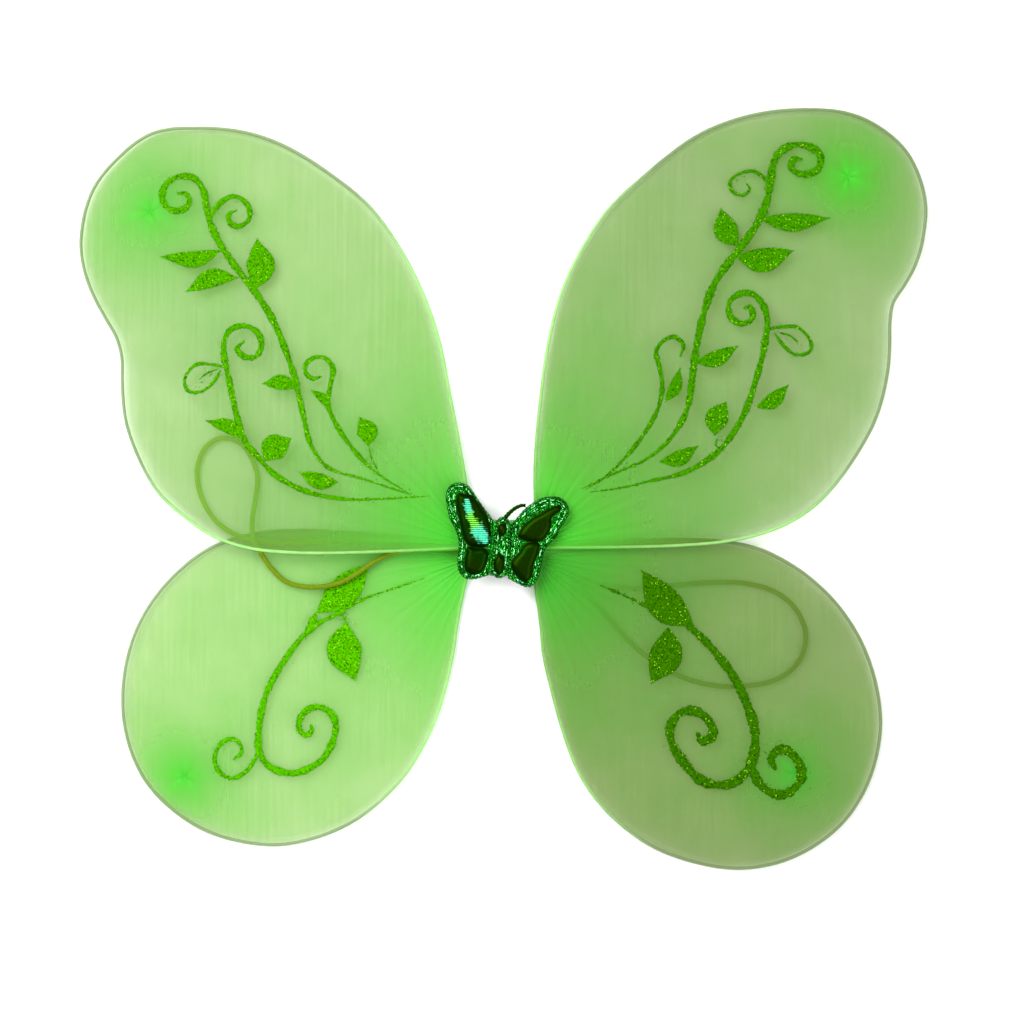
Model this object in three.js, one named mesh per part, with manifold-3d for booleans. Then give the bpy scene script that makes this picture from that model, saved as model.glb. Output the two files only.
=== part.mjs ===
// Child's fairy wings: four wire loops covered with sheer nylon, folding about a small hub,
// with a padded foil butterfly on the front and two elastic shoulder loops.
// Millimetres. The wings lie on their back: +Z is the front, +Y up the wearer's back.
import * as THREE from 'three';
import { mergeVertices } from 'three/addons/utils/BufferGeometryUtils.js';
import Module from 'manifold-3d';

const wasm = await Module();
wasm.setup();

// ---------------------------------------------------------------- driving dimensions
const WIRE_RADIUS = 0.9;
const WIRE_SIDES = 6;
const GAP = 0.3;                 // clearance between pieces that touch
const NYLON = 0.3;               // wall of the nylon sleeve
const EDGE_STEP = 12;            // spacing of the sections along a wing's rim
const MOUTH_LAP = 4;             // how far the sleeve's hollow runs past its mouth

const HINGE_X = 13.3;            // fold line of each pair of wings, out from the centre
const UPPER_ROOT_Z = 9.8;        // height of the upper wings' wires at the hub
const LOWER_LEFT_Z = 2.2;        // the lower left wing lies on the ground
const LOWER_RIGHT_Z = 6.3;       // the lower right wing lies on its shoulder loop
const LEG_END_X = 14.4;          // where each wing's wire starts, just past the fold line
const TIE_X = 14.9;              // inner end of the thread tie round a wing's root
const TIE_LENGTH = 2.8;
const TIE_WALL = 0.8;
const LEG_RUN = 0.6;             // straight run of the legs beyond the tie
const LEG_SPREAD = 1.3;          // half the distance between the two legs of a wire loop
const UPPER_LEG_Y = 1.8;
const LOWER_LEG_Y = -5.2;

const UPPER_DROP = 0.0425;       // slope of the upper wings down towards their tips
const UPPER_RISE = 0.0205;       // slope of the upper wings up, outwards over the loops
const LOWER_LEFT_LIFT = 0.0153;  // slope of the lower left wing up towards its foot
const LOWER_RIGHT_DROP = 0.0115;

const PAIR_HALF_LENGTH = 12.2;   // wires through the hub
const LOWER_PAIR_Z = 5.0;
const COIL_RADIUS = 0.4;
const COIL_TURNS = 5;
const COIL_HALF_LENGTH = 6;
const COIL_CENTRE = [-1.7, 7.3];
const COIL_HALF = [7.6, 4.5];
const TAPE_HALF_LENGTH = 10.5;
const TAPE_WALL = 0.5;
const PAD_SIZE = [21, 32];
const PAD_THICKNESS = 1.4;
const GLUE_SIZE = [12, 16];
const GLUE_Z = 13.3;
const GLUE_THICKNESS = 0.7;

const BUTTERFLY_CENTRE = [-1.9, 0.6];
const BUTTERFLY_TILT = THREE.MathUtils.degToRad(-5);
const BACKING_Z = 14.3;
const BACKING_THICKNESS = 0.5;
const PADDING_Z = 15.1;
const PADDING_THICKNESS = 5;
const PADDING_BEVEL = 1.5;
const ANTENNA_Z = 16;
const ANTENNA_RADIUS = 0.6;

const ELASTIC_RADIUS = 1.5;
const ELASTIC_SIDES = 8;
const LOOP_LENGTH_STEPS = 64;
const KNOT_RADIUS = 3.6;         // thread knot on the back of each wing's tip

// ---------------------------------------------------------------- materials
function material(color, roughness, metalness = 0, opacity = 1) {
  return new THREE.MeshStandardMaterial({ color, roughness, metalness, opacity, transparent: opacity < 1 });
}
const MATERIAL = {
  nylon: material(0xa6e287, 0.75, 0, 0.6),
  wire: material(0xd8f0d0, 0.35, 0.8),
  thread: material(0x2fa838, 0.8),
  foil: material(0x0f7a3c, 0.2, 0.95),
  felt: material(0x3fae3f, 0.95),
  tape: material(0x49b749, 0.7),
  glue: material(0xe8e8d8, 0.3),
  elastic: material(0x96be28, 0.7),
};

// ---------------------------------------------------------------- helpers
const vector3 = ([x, y, z = 0]) => new THREE.Vector3(x, y, z);
const vector2 = ([x, y]) => new THREE.Vector2(x, y);

// A chain of straight lines whose sections sit exactly on its points.
class Chain extends THREE.Curve {
  constructor(points) {
    super();
    this.points = points;
  }
  getPointAt(u, target = new THREE.Vector3()) {
    const place = u * (this.points.length - 1);
    const index = Math.min(Math.floor(place), this.points.length - 2);
    return target.lerpVectors(this.points[index], this.points[index + 1], place - index);
  }
  getPoint(t, target) {
    return this.getPointAt(t, target);
  }
  getTangentAt(u, target = new THREE.Vector3()) {
    const last = this.points.length - 1;
    const index = Math.round(u * last);
    const before = this.points[Math.max(index - 1, 0)];
    const after = this.points[Math.min(index + 1, last)];
    return target.subVectors(after, before).normalize();
  }
}

function disc(radius, sides) {
  const shape = new THREE.Shape();
  for (let side = 0; side < sides; side += 1) {
    const angle = (side / sides) * 2 * Math.PI;
    shape[side ? 'lineTo' : 'moveTo'](radius * Math.cos(angle), radius * Math.sin(angle));
  }
  shape.closePath();
  return shape;
}

function sweep(points, radius, sides) {
  return new THREE.ExtrudeGeometry(disc(radius, sides), {
    steps: points.length - 1, extrudePath: new Chain(points), bevelEnabled: false,
  });
}

function smooth(points, count) {
  return new THREE.CatmullRomCurve3(points.map(vector3), false, 'centripetal').getSpacedPoints(count);
}

// Moves a line of points sideways in the XY plane; a positive distance goes to its left.
function offset(points, distance) {
  return points.map((point, index) => {
    const before = points[Math.max(index - 1, 0)];
    const after = points[Math.min(index + 1, points.length - 1)];
    const along = new THREE.Vector3().subVectors(after, before).normalize();
    return new THREE.Vector3(point.x - along.y * distance, point.y + along.x * distance, 0);
  });
}

function plate(points, bottom, thickness) {
  const geometry = new THREE.ExtrudeGeometry(new THREE.Shape(points.map(vector2ofPoint)), {
    depth: thickness, bevelEnabled: false, curveSegments: 1,
  });
  return geometry.translate(0, 0, bottom);
}

function vector2ofPoint(point) {
  return Array.isArray(point) ? vector2(point) : new THREE.Vector2(point.x, point.y);
}

function toManifold(geometry) {
  const bare = geometry.clone();
  bare.deleteAttribute('normal');
  bare.deleteAttribute('uv');
  const merged = mergeVertices(bare, 1e-4);
  return new wasm.Manifold(new wasm.Mesh({
    numProp: 3,
    vertProperties: new Float32Array(merged.attributes.position.array),
    triVerts: new Uint32Array(merged.index.array),
  }));
}

function fromManifold(solid) {
  const mesh = solid.getMesh();
  const geometry = new THREE.BufferGeometry();
  geometry.setAttribute('position', new THREE.BufferAttribute(new Float32Array(mesh.vertProperties), 3));
  geometry.setIndex(new THREE.BufferAttribute(new Uint32Array(mesh.triVerts), 1));
  return geometry;
}

function named(name, geometry, look) {
  const mesh = new THREE.Mesh(geometry, look);
  mesh.name = name;
  return mesh;
}

function stadium(halfWidth, halfHeight, hole = null) {
  const shape = new THREE.Shape();
  const straight = halfWidth - halfHeight;
  shape.absarc(straight, 0, halfHeight, -Math.PI / 2, Math.PI / 2, false);
  shape.absarc(-straight, 0, halfHeight, Math.PI / 2, 1.5 * Math.PI, false);
  shape.closePath();
  if (hole) {
    shape.holes.push(new THREE.Path(stadium(...hole).getPoints(6).reverse()));
  }
  return shape;
}

// A section in the YZ plane, extruded along X from x to x + length.
function alongX(shape, x, length, y, z) {
  const geometry = new THREE.ExtrudeGeometry(shape, { depth: length, bevelEnabled: false, curveSegments: 6 });
  geometry.applyMatrix4(new THREE.Matrix4().makeBasis(
    new THREE.Vector3(0, 1, 0), new THREE.Vector3(0, 0, 1), new THREE.Vector3(1, 0, 0)));
  return geometry.translate(x, y, z);
}

// ---------------------------------------------------------------- the wings
// Each rim is the sleeve's outer edge, from the inner leg round to the outer leg, and
// turned clockwise or anticlockwise by its side. knot is the gather on the back.
const WINGS = {
  upper_left: {
    side: -1, inward: 1, legY: UPPER_LEG_Y, rootZ: UPPER_ROOT_Z,
    tilt: [-UPPER_DROP, UPPER_RISE], knot: [-208, 198],
    innerLeg: [[-19.4, 3.6], [-20.6, 5.8]],
    outerLeg: [[-19.4, 0.5]],
    rim: [
      [-19.4, 9], [-19.8, 28], [-25, 61], [-30, 87], [-37, 122], [-46, 149], [-60, 177], [-78, 202],
      [-98, 219], [-126, 237], [-150, 246], [-179, 249], [-208, 245.5], [-231.5, 227], [-244, 209],
      [-250, 180], [-247, 160], [-239.5, 142], [-231.5, 128], [-226.2, 117], [-225.3, 105], [-224.8, 90],
      [-221.5, 69], [-205, 34], [-186, 16], [-170, 5.5], [-149, -1.5], [-120, -4.2], [-95, -4.2],
      [-61, -3], [-21.5, -1.2],
    ],
  },
  upper_right: {
    side: 1, inward: -1, legY: UPPER_LEG_Y, rootZ: UPPER_ROOT_Z,
    tilt: [-UPPER_DROP, -UPPER_RISE], knot: [203, 219],
    innerLeg: [[19.2, 3.6], [19.6, 5.8]],
    outerLeg: [[19.4, 0.5]],
    rim: [
      [17.8, 9], [17, 28], [17, 52], [20, 87], [25, 122], [32, 149], [42, 172], [60, 200],
      [80, 219], [98, 234], [116, 246], [143, 256], [174, 260], [205, 257], [226, 246], [240, 231],
      [249, 205], [248, 184], [243.5, 167], [236, 153], [228.8, 141], [227.8, 129], [227.4, 113],
      [225, 96], [218, 73], [200, 43], [184, 25], [168, 14], [150, 7], [130, 2.5], [100, 0],
      [56, -1], [21.5, -1],
    ],
  },
  lower_left: {
    side: -1, inward: -1, legY: LOWER_LEG_Y, rootZ: LOWER_LEFT_Z,
    tilt: [-LOWER_LEFT_LIFT, 0], knot: [-188, -135],
    innerLeg: [[-19.4, -7.1], [-20.7, -9.4]],
    outerLeg: [[-19.6, -3.7]],
    rim: [
      [-19.6, -13], [-21.4, -20], [-26, -42], [-29, -63], [-33, -81], [-38, -98], [-46, -116],
      [-57, -134], [-72, -150], [-88, -162], [-108, -171], [-132, -176], [-155, -174], [-175, -168],
      [-192, -158], [-209, -142], [-219, -125], [-225, -104], [-226, -86], [-224, -68], [-218, -48],
      [-208, -30], [-193, -13], [-176, 0], [-155, 8], [-132, 11.5], [-91, 10.5], [-55, 7], [-23, -0.6],
    ],
  },
  lower_right: {
    side: 1, inward: 1, legY: LOWER_LEG_Y, rootZ: LOWER_RIGHT_Z,
    tilt: [LOWER_RIGHT_DROP, 0], knot: [171, -133],
    innerLeg: [[19, -7.1], [19.3, -9.4]],
    outerLeg: [[19.6, -3.7]],
    rim: [
      [17.4, -13], [17.6, -25], [20, -42], [22, -63], [26, -81], [34, -110], [43, -133], [56, -152],
      [72, -167], [89, -178], [111, -186], [136, -190], [160, -187], [181, -178], [200, -163],
      [213, -144], [220, -125], [223, -104], [221, -84], [215, -63], [206, -45], [194, -29],
      [180, -16], [164, -5.5], [148, 1.5], [126, 5.5], [95, 6.5], [56, 5], [23, -0.8],
    ],
  },
};

function legs(wing) {
  const reach = wing.side * LEG_END_X;
  const past = wing.side * (TIE_X + TIE_LENGTH + LEG_RUN);
  const inner = wing.legY + (wing.rim[0][1] > wing.legY ? LEG_SPREAD : -LEG_SPREAD);
  const outer = 2 * wing.legY - inner;
  const start = [[reach, inner], [past, inner], ...wing.innerLeg];
  const end = [...wing.outerLeg, [past, outer], [reach, outer]];
  return [start.map(vector3), end.map(vector3)];
}

function rimPoints(wing) {
  const length = new THREE.CatmullRomCurve3(wing.rim.map(vector3), false, 'centripetal').getLength();
  return smooth(wing.rim, Math.round(length / EDGE_STEP));
}

function wireFrame(wing) {
  const [start, end] = legs(wing);
  const inset = (NYLON + GAP + WIRE_RADIUS) * wing.inward;
  return sweep([...start, ...offset(rimPoints(wing), inset), ...end], WIRE_RADIUS, WIRE_SIDES);
}

// A flat bag round the wire, open where the wire's two legs come out of it.
function nylonSleeve(wing) {
  const rim = rimPoints(wing);
  const hollow = offset(rim, NYLON * wing.inward);
  const mouth = [hollow[0].clone(), hollow[hollow.length - 1].clone()];
  const lap = mouth.map((point) => point.setX(point.x - wing.side * MOUTH_LAP));
  const halfHollow = WIRE_RADIUS + GAP;
  const halfBag = halfHollow + NYLON;
  const bag = toManifold(plate(rim, -halfBag, 2 * halfBag));
  const space = toManifold(plate([lap[0], ...hollow, lap[1]], -halfHollow, 2 * halfHollow));
  return fromManifold(bag.subtract(space));
}

function rootTie(wing) {
  const inner = [LEG_SPREAD + WIRE_RADIUS + GAP, WIRE_RADIUS + GAP];
  const ring = stadium(inner[0] + TIE_WALL, inner[1] + TIE_WALL, inner);
  const x = wing.side > 0 ? TIE_X : -TIE_X - TIE_LENGTH;
  return alongX(ring, x, TIE_LENGTH, wing.legY, 0);
}

// A flattened bead of thread under the sleeve, down to just above the ground.
function tipKnot(wing) {
  const [x, y] = wing.knot;
  const height = wing.rootZ + wing.tilt[0] * y - wing.tilt[1] * x;
  const top = -(WIRE_RADIUS + GAP + NYLON) - GAP;
  const depth = Math.min(3, height + top - GAP);
  const bead = new THREE.SphereGeometry(KNOT_RADIUS, 10, 6);
  return bead.scale(1, 1, depth / 2 / KNOT_RADIUS).translate(x, y, top - depth / 2);
}

function wing(name) {
  const data = WINGS[name];
  const group = new THREE.Group();
  group.position.z = data.rootZ;
  group.rotation.set(data.tilt[0], data.tilt[1], 0);
  group.add(named(`${name}_wire`, wireFrame(data), MATERIAL.wire));
  group.add(named(`${name}_sleeve`, nylonSleeve(data), MATERIAL.nylon));
  group.add(named(`${name}_root_tie`, rootTie(data), MATERIAL.thread));
  group.add(named(`${name}_tip_knot`, tipKnot(data), MATERIAL.thread));
  return group;
}

// ---------------------------------------------------------------- the hub
function wirePair(y, z) {
  const section = stadium(LEG_SPREAD + WIRE_RADIUS, WIRE_RADIUS);
  return alongX(section, -PAIR_HALF_LENGTH, 2 * PAIR_HALF_LENGTH, y, z);
}

function bindingCoil() {
  const steps = COIL_TURNS * 16;
  const points = [];
  for (let step = 0; step <= steps; step += 1) {
    const angle = (step / steps) * COIL_TURNS * 2 * Math.PI;
    const across = Math.sign(Math.cos(angle)) * Math.abs(Math.cos(angle)) ** 0.5;
    const up = Math.sign(Math.sin(angle)) * Math.abs(Math.sin(angle)) ** 0.5;
    points.push(vector3([
      (2 * step / steps - 1) * COIL_HALF_LENGTH,
      COIL_CENTRE[0] + COIL_HALF[0] * across,
      COIL_CENTRE[1] + COIL_HALF[1] * up,
    ]));
  }
  return sweep(points, COIL_RADIUS, 5);
}

function tapeWrap() {
  const half = [COIL_HALF[0] + COIL_RADIUS + GAP, COIL_HALF[1] + COIL_RADIUS + GAP];
  const shape = roundedBox(half[0] + TAPE_WALL, half[1] + TAPE_WALL, 2.2);
  shape.holes.push(new THREE.Path(roundedBox(half[0], half[1], 1.7).getPoints(4).reverse()));
  return alongX(shape, -TAPE_HALF_LENGTH, 2 * TAPE_HALF_LENGTH, COIL_CENTRE[0], COIL_CENTRE[1]);
}

function roundedBox(halfWidth, halfHeight, radius) {
  const shape = new THREE.Shape();
  const x = halfWidth - radius;
  const y = halfHeight - radius;
  shape.absarc(x, y, radius, 0, Math.PI / 2, false);
  shape.absarc(-x, y, radius, Math.PI / 2, Math.PI, false);
  shape.absarc(-x, -y, radius, Math.PI, 1.5 * Math.PI, false);
  shape.absarc(x, -y, radius, 1.5 * Math.PI, 2 * Math.PI, false);
  shape.closePath();
  return shape;
}

function pad(size, radius, bottom, thickness) {
  const geometry = new THREE.ExtrudeGeometry(roundedBox(size[0] / 2, size[1] / 2, radius), {
    depth: thickness, bevelEnabled: false, curveSegments: 5,
  });
  return geometry.translate(0, 0, bottom);
}

function hub() {
  const group = new THREE.Group();
  group.add(named('back_pad', pad(PAD_SIZE, 5, 0, PAD_THICKNESS), MATERIAL.felt));
  group.add(named('upper_wire_pair', wirePair(UPPER_LEG_Y, UPPER_ROOT_Z), MATERIAL.wire));
  group.add(named('lower_wire_pair', wirePair(LOWER_LEG_Y, LOWER_PAIR_Z), MATERIAL.wire));
  group.add(named('binding_coil', bindingCoil(), MATERIAL.wire));
  group.add(named('tape_wrap', tapeWrap(), MATERIAL.tape));
  group.add(named('glue_pad', pad(GLUE_SIZE, 3, GLUE_Z, GLUE_THICKNESS), MATERIAL.glue));
  return group;
}

// ---------------------------------------------------------------- the butterfly
const SEAM_BODY = 4.2;           // the body's edge and each flap's edge at the seam
const SEAM_FLAP = 5.8;
const BODY_OUTLINE = [
  [-SEAM_BODY, -16], [0, -18], [SEAM_BODY, -16], [SEAM_BODY, 14.5], [1.5, 17.6], [-1.5, 17.6], [-SEAM_BODY, 14.5],
];
const LEFT_FLAP = [
  [-SEAM_FLAP, 15.5], [-11.7, 22.1], [-17.7, 29.5], [-21.6, 34], [-25.7, 35.5], [-30.4, 34.8], [-33.6, 31.7],
  [-34.5, 26.8], [-33.2, 21], [-31, 14], [-27.5, 8.5], [-25, 3], [-24.3, -3], [-24.3, -11], [-22.8, -16.5],
  [-18.8, -19.8], [-13.5, -19.8], [-8.5, -18], [-SEAM_FLAP, -17],
];
const RIGHT_FLAP = [
  [SEAM_FLAP, 15], [8.3, 18.4], [11.3, 22.7], [15.7, 27], [20.8, 30.5], [26.1, 32], [31.5, 32], [35.7, 29.4],
  [37.8, 24.5], [36.5, 19], [33.4, 14], [32, 9], [28.5, 5], [26, 1], [24.8, -5], [24.3, -11], [22.9, -16.9],
  [19.9, -21], [16.4, -21.8], [12, -20.3], [SEAM_FLAP, -17.6],
];
const RIGHT_ANTENNA = [[1.6, 18.6], [3.4, 20.7], [6.4, 23.7], [9.6, 25.6], [12.4, 26]];

// The outline cut back by its own bevel, so that the bevel's foot is the outline.
function padding(points) {
  const geometry = new THREE.ExtrudeGeometry(new THREE.Shape(points.map(vector2)), {
    depth: PADDING_THICKNESS - 2 * PADDING_BEVEL, curveSegments: 1,
    bevelThickness: PADDING_BEVEL, bevelSize: PADDING_BEVEL, bevelOffset: -PADDING_BEVEL, bevelSegments: 1,
  });
  return geometry.translate(0, 0, PADDING_Z + PADDING_BEVEL);
}

function backing(points) {
  return plate(points, BACKING_Z, BACKING_THICKNESS);
}

function antenna(points) {
  return sweep(smooth(points, 10).map((point) => point.setZ(ANTENNA_Z)), ANTENNA_RADIUS, 6);
}

function butterfly() {
  const group = new THREE.Group();
  group.position.set(...BUTTERFLY_CENTRE, 0);
  group.rotation.z = BUTTERFLY_TILT;
  const outlines = { body: BODY_OUTLINE, left_flap: LEFT_FLAP, right_flap: RIGHT_FLAP };
  for (const [piece, outline] of Object.entries(outlines)) {
    group.add(named(`butterfly_${piece}`, padding(outline), MATERIAL.foil));
    group.add(named(`butterfly_${piece}_backing`, backing(outline), MATERIAL.foil));
  }
  group.add(named('right_antenna', antenna(RIGHT_ANTENNA), MATERIAL.foil));
  return group;
}

// ---------------------------------------------------------------- the shoulder loops
// Each route leaves its knot and comes back to it; where the left one crosses itself,
// the second strand passes over the first.
const LEFT_LOOP = [
  [-25.7, 3.2, 5.9], [-29, 3.3, 5.9], [-38, 3.8, 5.8], [-50, 4.4, 5.7], [-75, 4.6, 5.7], [-100, 4.4, 5.7],
  [-122, 3.1, 5.7], [-134, 2.9, 5.7], [-146, 4.6, 5.6], [-158, 8, 5.4], [-168, 14.5, 4.9], [-175.5, 24, 3.2],
  [-180, 35, 1.7], [-181, 46, 1.6], [-177, 58, 1.6], [-168, 64.5, 1.6], [-157.5, 63, 1.6], [-149.5, 54, 1.6],
  [-145.5, 42, 1.8], [-146.5, 28, 3.6], [-147.8, 16, 7.2], [-147, 6, 9.0], [-144, -0.5, 8.4], [-141.7, -4.7, 7.4],
  [-136.4, -12.3, 6.2], [-127.6, -20, 5.9], [-115.8, -22.8, 5.9], [-106, -22.5, 5.9], [-95.8, -20, 5.9],
  [-87, -15.3, 5.9], [-78.2, -9.2, 5.9], [-70, -4.6, 5.9], [-60, -1.6, 5.9], [-48, -0.6, 5.9], [-38, -0.4, 5.9],
  [-29, -0.2, 5.9], [-25.7, -0.2, 5.9],
];
const RIGHT_LOOP = [
  [18.5, -3.2], [21.5, -3.5], [30, -7.4], [42, -15.5], [58, -22], [78, -23.6], [100, -22], [122, -20.4], [143, -21],
  [160, -26], [172, -36], [178, -51], [174.5, -66], [162, -77], [142, -81.5], [120, -80.5], [98, -73],
  [78, -59], [60, -39.5], [46, -24], [33, -12.6], [21.5, -7.4], [18.5, -7.2],
].map(([x, y]) => [x, y, ELASTIC_RADIUS + 0.1]);

function elasticLoop(route) {
  return sweep(smooth(route, LOOP_LENGTH_STEPS), ELASTIC_RADIUS, ELASTIC_SIDES);
}

// A rounded knot, with flat ends for the strands to meet.
function elasticKnot(x, y, z, halfLength) {
  const section = stadium(4.4, 1.55);
  return alongX(section, x - halfLength, 2 * halfLength, y, z);
}

function shoulderLoops() {
  const group = new THREE.Group();
  group.add(named('left_elastic_loop', elasticLoop(LEFT_LOOP), MATERIAL.elastic));
  group.add(named('right_elastic_loop', elasticLoop(RIGHT_LOOP), MATERIAL.elastic));
  group.add(named('left_elastic_knot', elasticKnot(-22.1, 1.5, 5.9, 3.2), MATERIAL.elastic));
  group.add(named('right_elastic_knot', elasticKnot(14.6, -5.2, 1.6, 3.4), MATERIAL.elastic));
  return group;
}

// ---------------------------------------------------------------- the whole object
const fairyWings = new THREE.Group();
fairyWings.add(hub());
for (const name of Object.keys(WINGS)) {
  fairyWings.add(wing(name));
}
fairyWings.add(butterfly());
fairyWings.add(shoulderLoops());

export default fairyWings;
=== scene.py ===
"""Fairy wings: four nylon wings on wire loops, tied to a padded hub under a foil butterfly."""

import math

import bmesh
import bpy
import numpy as np
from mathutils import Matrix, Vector, noise
from mathutils.geometry import delaunay_2d_cdt


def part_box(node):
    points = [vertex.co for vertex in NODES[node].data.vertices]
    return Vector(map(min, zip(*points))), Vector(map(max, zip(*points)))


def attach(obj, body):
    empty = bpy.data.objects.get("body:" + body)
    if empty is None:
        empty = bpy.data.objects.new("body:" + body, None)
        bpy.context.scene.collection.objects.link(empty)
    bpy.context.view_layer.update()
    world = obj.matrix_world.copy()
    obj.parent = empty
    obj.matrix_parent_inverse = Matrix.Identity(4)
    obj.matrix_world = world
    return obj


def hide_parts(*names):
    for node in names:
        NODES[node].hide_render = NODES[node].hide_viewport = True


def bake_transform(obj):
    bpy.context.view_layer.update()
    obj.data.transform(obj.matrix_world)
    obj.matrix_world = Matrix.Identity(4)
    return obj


MM = 0.001                      # shapes are worked out in millimetres, and made in metres
UP = np.array([0.0, 0.0, 1.0])

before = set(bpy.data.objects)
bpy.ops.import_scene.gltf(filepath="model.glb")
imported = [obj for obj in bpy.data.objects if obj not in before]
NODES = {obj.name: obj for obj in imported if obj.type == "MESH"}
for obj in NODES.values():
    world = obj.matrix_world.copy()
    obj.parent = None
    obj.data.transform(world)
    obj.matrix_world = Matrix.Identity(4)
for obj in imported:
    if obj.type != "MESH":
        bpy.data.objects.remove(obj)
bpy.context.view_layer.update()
chance = np.random.default_rng(11)


# ---------------------------------------------------------------- camera
CAMERA_PLACE = (4.7, 21.2, 1206)
CAMERA_REACH = 1200             # from the camera down to the wings
VIEW_WIDTH = 602                # what the camera sees across, at that distance
SENSOR = 36


def make_camera():
    data = bpy.data.cameras.new("camera")
    data.sensor_width = SENSOR
    data.lens = SENSOR * CAMERA_REACH / VIEW_WIDTH
    data.clip_start = 0.05
    camera = bpy.data.objects.new("camera", data)
    camera.location = Vector(CAMERA_PLACE) * MM
    bpy.context.collection.objects.link(camera)
    bpy.context.scene.camera = camera


make_camera()


# ---------------------------------------------------------------- lines
CURVE_PIECES = 24               # worked out between two given points of a curve
POINTS_AT_ONCE = 2000           # measured together, to spare memory


def round_angles(count):
    """Equal angles all the way round."""
    return np.arange(count) * math.tau / count


def on_circle(angles):
    return np.column_stack([np.cos(angles), np.sin(angles)])


def box_of(node):
    """The two far corners of a CAD node, in millimetres."""
    return [np.array(corner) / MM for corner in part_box(node)]


def middle_of(node):
    low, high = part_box(node)
    return (np.array(low) + np.array(high)) / 2 / MM


def even(points, step):
    """Points about step apart along a line of straight runs."""
    runs = np.linalg.norm(np.diff(points, axis=0), axis=1)
    along = np.concatenate([[0], np.cumsum(runs)])
    count = max(2, round(along[-1] / step) + 1)
    places = np.linspace(0, along[-1], count)
    return np.stack([np.interp(places, along, axis) for axis in points.T], axis=1)


def smooth(points, step, closed=False):
    """Points about step apart on the centripetal Catmull-Rom curve through the given ones."""
    p = np.array(points, float)
    if closed:
        p = np.vstack([p[-1:], p, p[:2]])
    else:
        p = np.vstack([2 * p[0] - p[1], p, 2 * p[-1] - p[-2]])
    t = np.linspace(0, 1, CURVE_PIECES, endpoint=False)[:, None]
    fine = []
    for p0, p1, p2, p3 in zip(p, p[1:], p[2:], p[3:]):
        d0, d1, d2 = (np.linalg.norm(b - a) ** 0.5 for a, b in ((p0, p1), (p1, p2), (p2, p3)))
        start = ((p1 - p0) / d0 - (p2 - p0) / (d0 + d1) + (p2 - p1) / d1) * d1
        end = ((p2 - p1) / d1 - (p3 - p1) / (d1 + d2) + (p3 - p2) / d2) * d1
        cubic = 2 * p1 - 2 * p2 + start + end
        square = 3 * p2 - 3 * p1 - 2 * start - end
        fine.append(p1 + t * (start + t * (square + t * cubic)))
    fine.append(p[-2:-1])
    line = even(np.vstack(fine), step)
    return line[:-1] if closed else line


def unit(vectors):
    return vectors / np.maximum(np.linalg.norm(vectors, axis=-1, keepdims=True), 1e-9)


def inside(points, outline):
    """Which of the flat points lie within the outline."""
    x, y = points[:, 0], points[:, 1]
    within = np.zeros(len(points), bool)
    for (x1, y1), (x2, y2) in zip(outline, np.roll(outline, -1, axis=0)):
        if y1 != y2:
            crossed = ((y1 > y) != (y2 > y)) & (x < (x2 - x1) * (y - y1) / (y2 - y1) + x1)
            within ^= crossed
    return within


def to_edge(points, outline):
    """Each point's distance to a closed outline, and how far along the outline it is met."""
    ahead = np.roll(outline, -1, axis=0) - outline
    runs = np.linalg.norm(ahead, axis=1)
    starts = np.concatenate([[0], np.cumsum(runs)[:-1]])
    distances, places = [], []
    for some in np.array_split(points, max(1, len(points) // POINTS_AT_ONCE)):
        off = some[:, None, :] - outline[None]
        share = np.clip((off * ahead).sum(2) / np.maximum(runs**2, 1e-12), 0, 1)
        far = np.linalg.norm(off - share[:, :, None] * ahead, axis=2)
        best = far.argmin(axis=1)
        row = np.arange(len(some))
        distances.append(far[row, best])
        places.append(starts[best] + share[row, best] * runs[best])
    return np.concatenate(distances), np.concatenate(places)


def outward(outline):
    """The unit normals of a closed flat outline, pointing out of it."""
    ahead = unit(np.roll(outline, -1, axis=0) - np.roll(outline, 1, axis=0))
    x, y = outline.T
    turn = np.sign((x * np.roll(y, -1) - np.roll(x, -1) * y).sum())
    return np.stack([ahead[:, 1], -ahead[:, 0]], axis=1) * turn


# ---------------------------------------------------------------- meshes
ROW_SHARE = 0.866               # a triangular grid's rows lie this share of its step apart
NOISE_STEP = (17.3, 9.1, 4.7)   # moves the noise of one seed away from that of the next


def merged(*parts):
    """One list of points and one of faces, from several."""
    points, faces, count = [], [], 0
    for some, own in parts:
        points.append(np.asarray(some, float))
        faces += [[corner + count for corner in face] for face in own]
        count += len(some)
    return np.vstack(points), faces


def rings_to_faces(rings, sides, closed=False):
    """Faces between rings of corners, capped at both ends unless the last ring meets the first."""
    faces = []
    for i in range(rings if closed else rings - 1):
        a, b = i * sides, (i + 1) % rings * sides
        for j in range(sides):
            k = (j + 1) % sides
            faces.append([a + j, a + k, b + k, b + j])
    if not closed:
        faces.append(list(range(sides))[::-1])
        faces.append([(rings - 1) * sides + j for j in range(sides)])
    return faces


def tube(path, radius, sides=8, closed=False):
    """A round tube. The radius is one number, one for each ring, or one for each corner."""
    path = np.asarray(path, float)
    if closed:
        ahead = unit(np.roll(path, -1, axis=0) - np.roll(path, 1, axis=0))
    else:
        ahead = unit(np.gradient(path, axis=0))
    across = np.cross(ahead[0], UP if abs(ahead[0][2]) < 0.9 else [1.0, 0.0, 0.0])
    radius = np.broadcast_to(np.reshape(radius, (-1, 1)) if np.ndim(radius) == 1 else radius,
                             (len(path), sides))
    angles = round_angles(sides)
    points = []
    for centre, forward, reach in zip(path, ahead, radius):
        across = unit(across - forward * (across @ forward))
        above = np.cross(across, forward)
        ring = np.cos(angles)[:, None] * across + np.sin(angles)[:, None] * above
        points.append(centre + ring * reach[:, None])
    return np.vstack(points), rings_to_faces(len(path), sides, closed)


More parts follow.
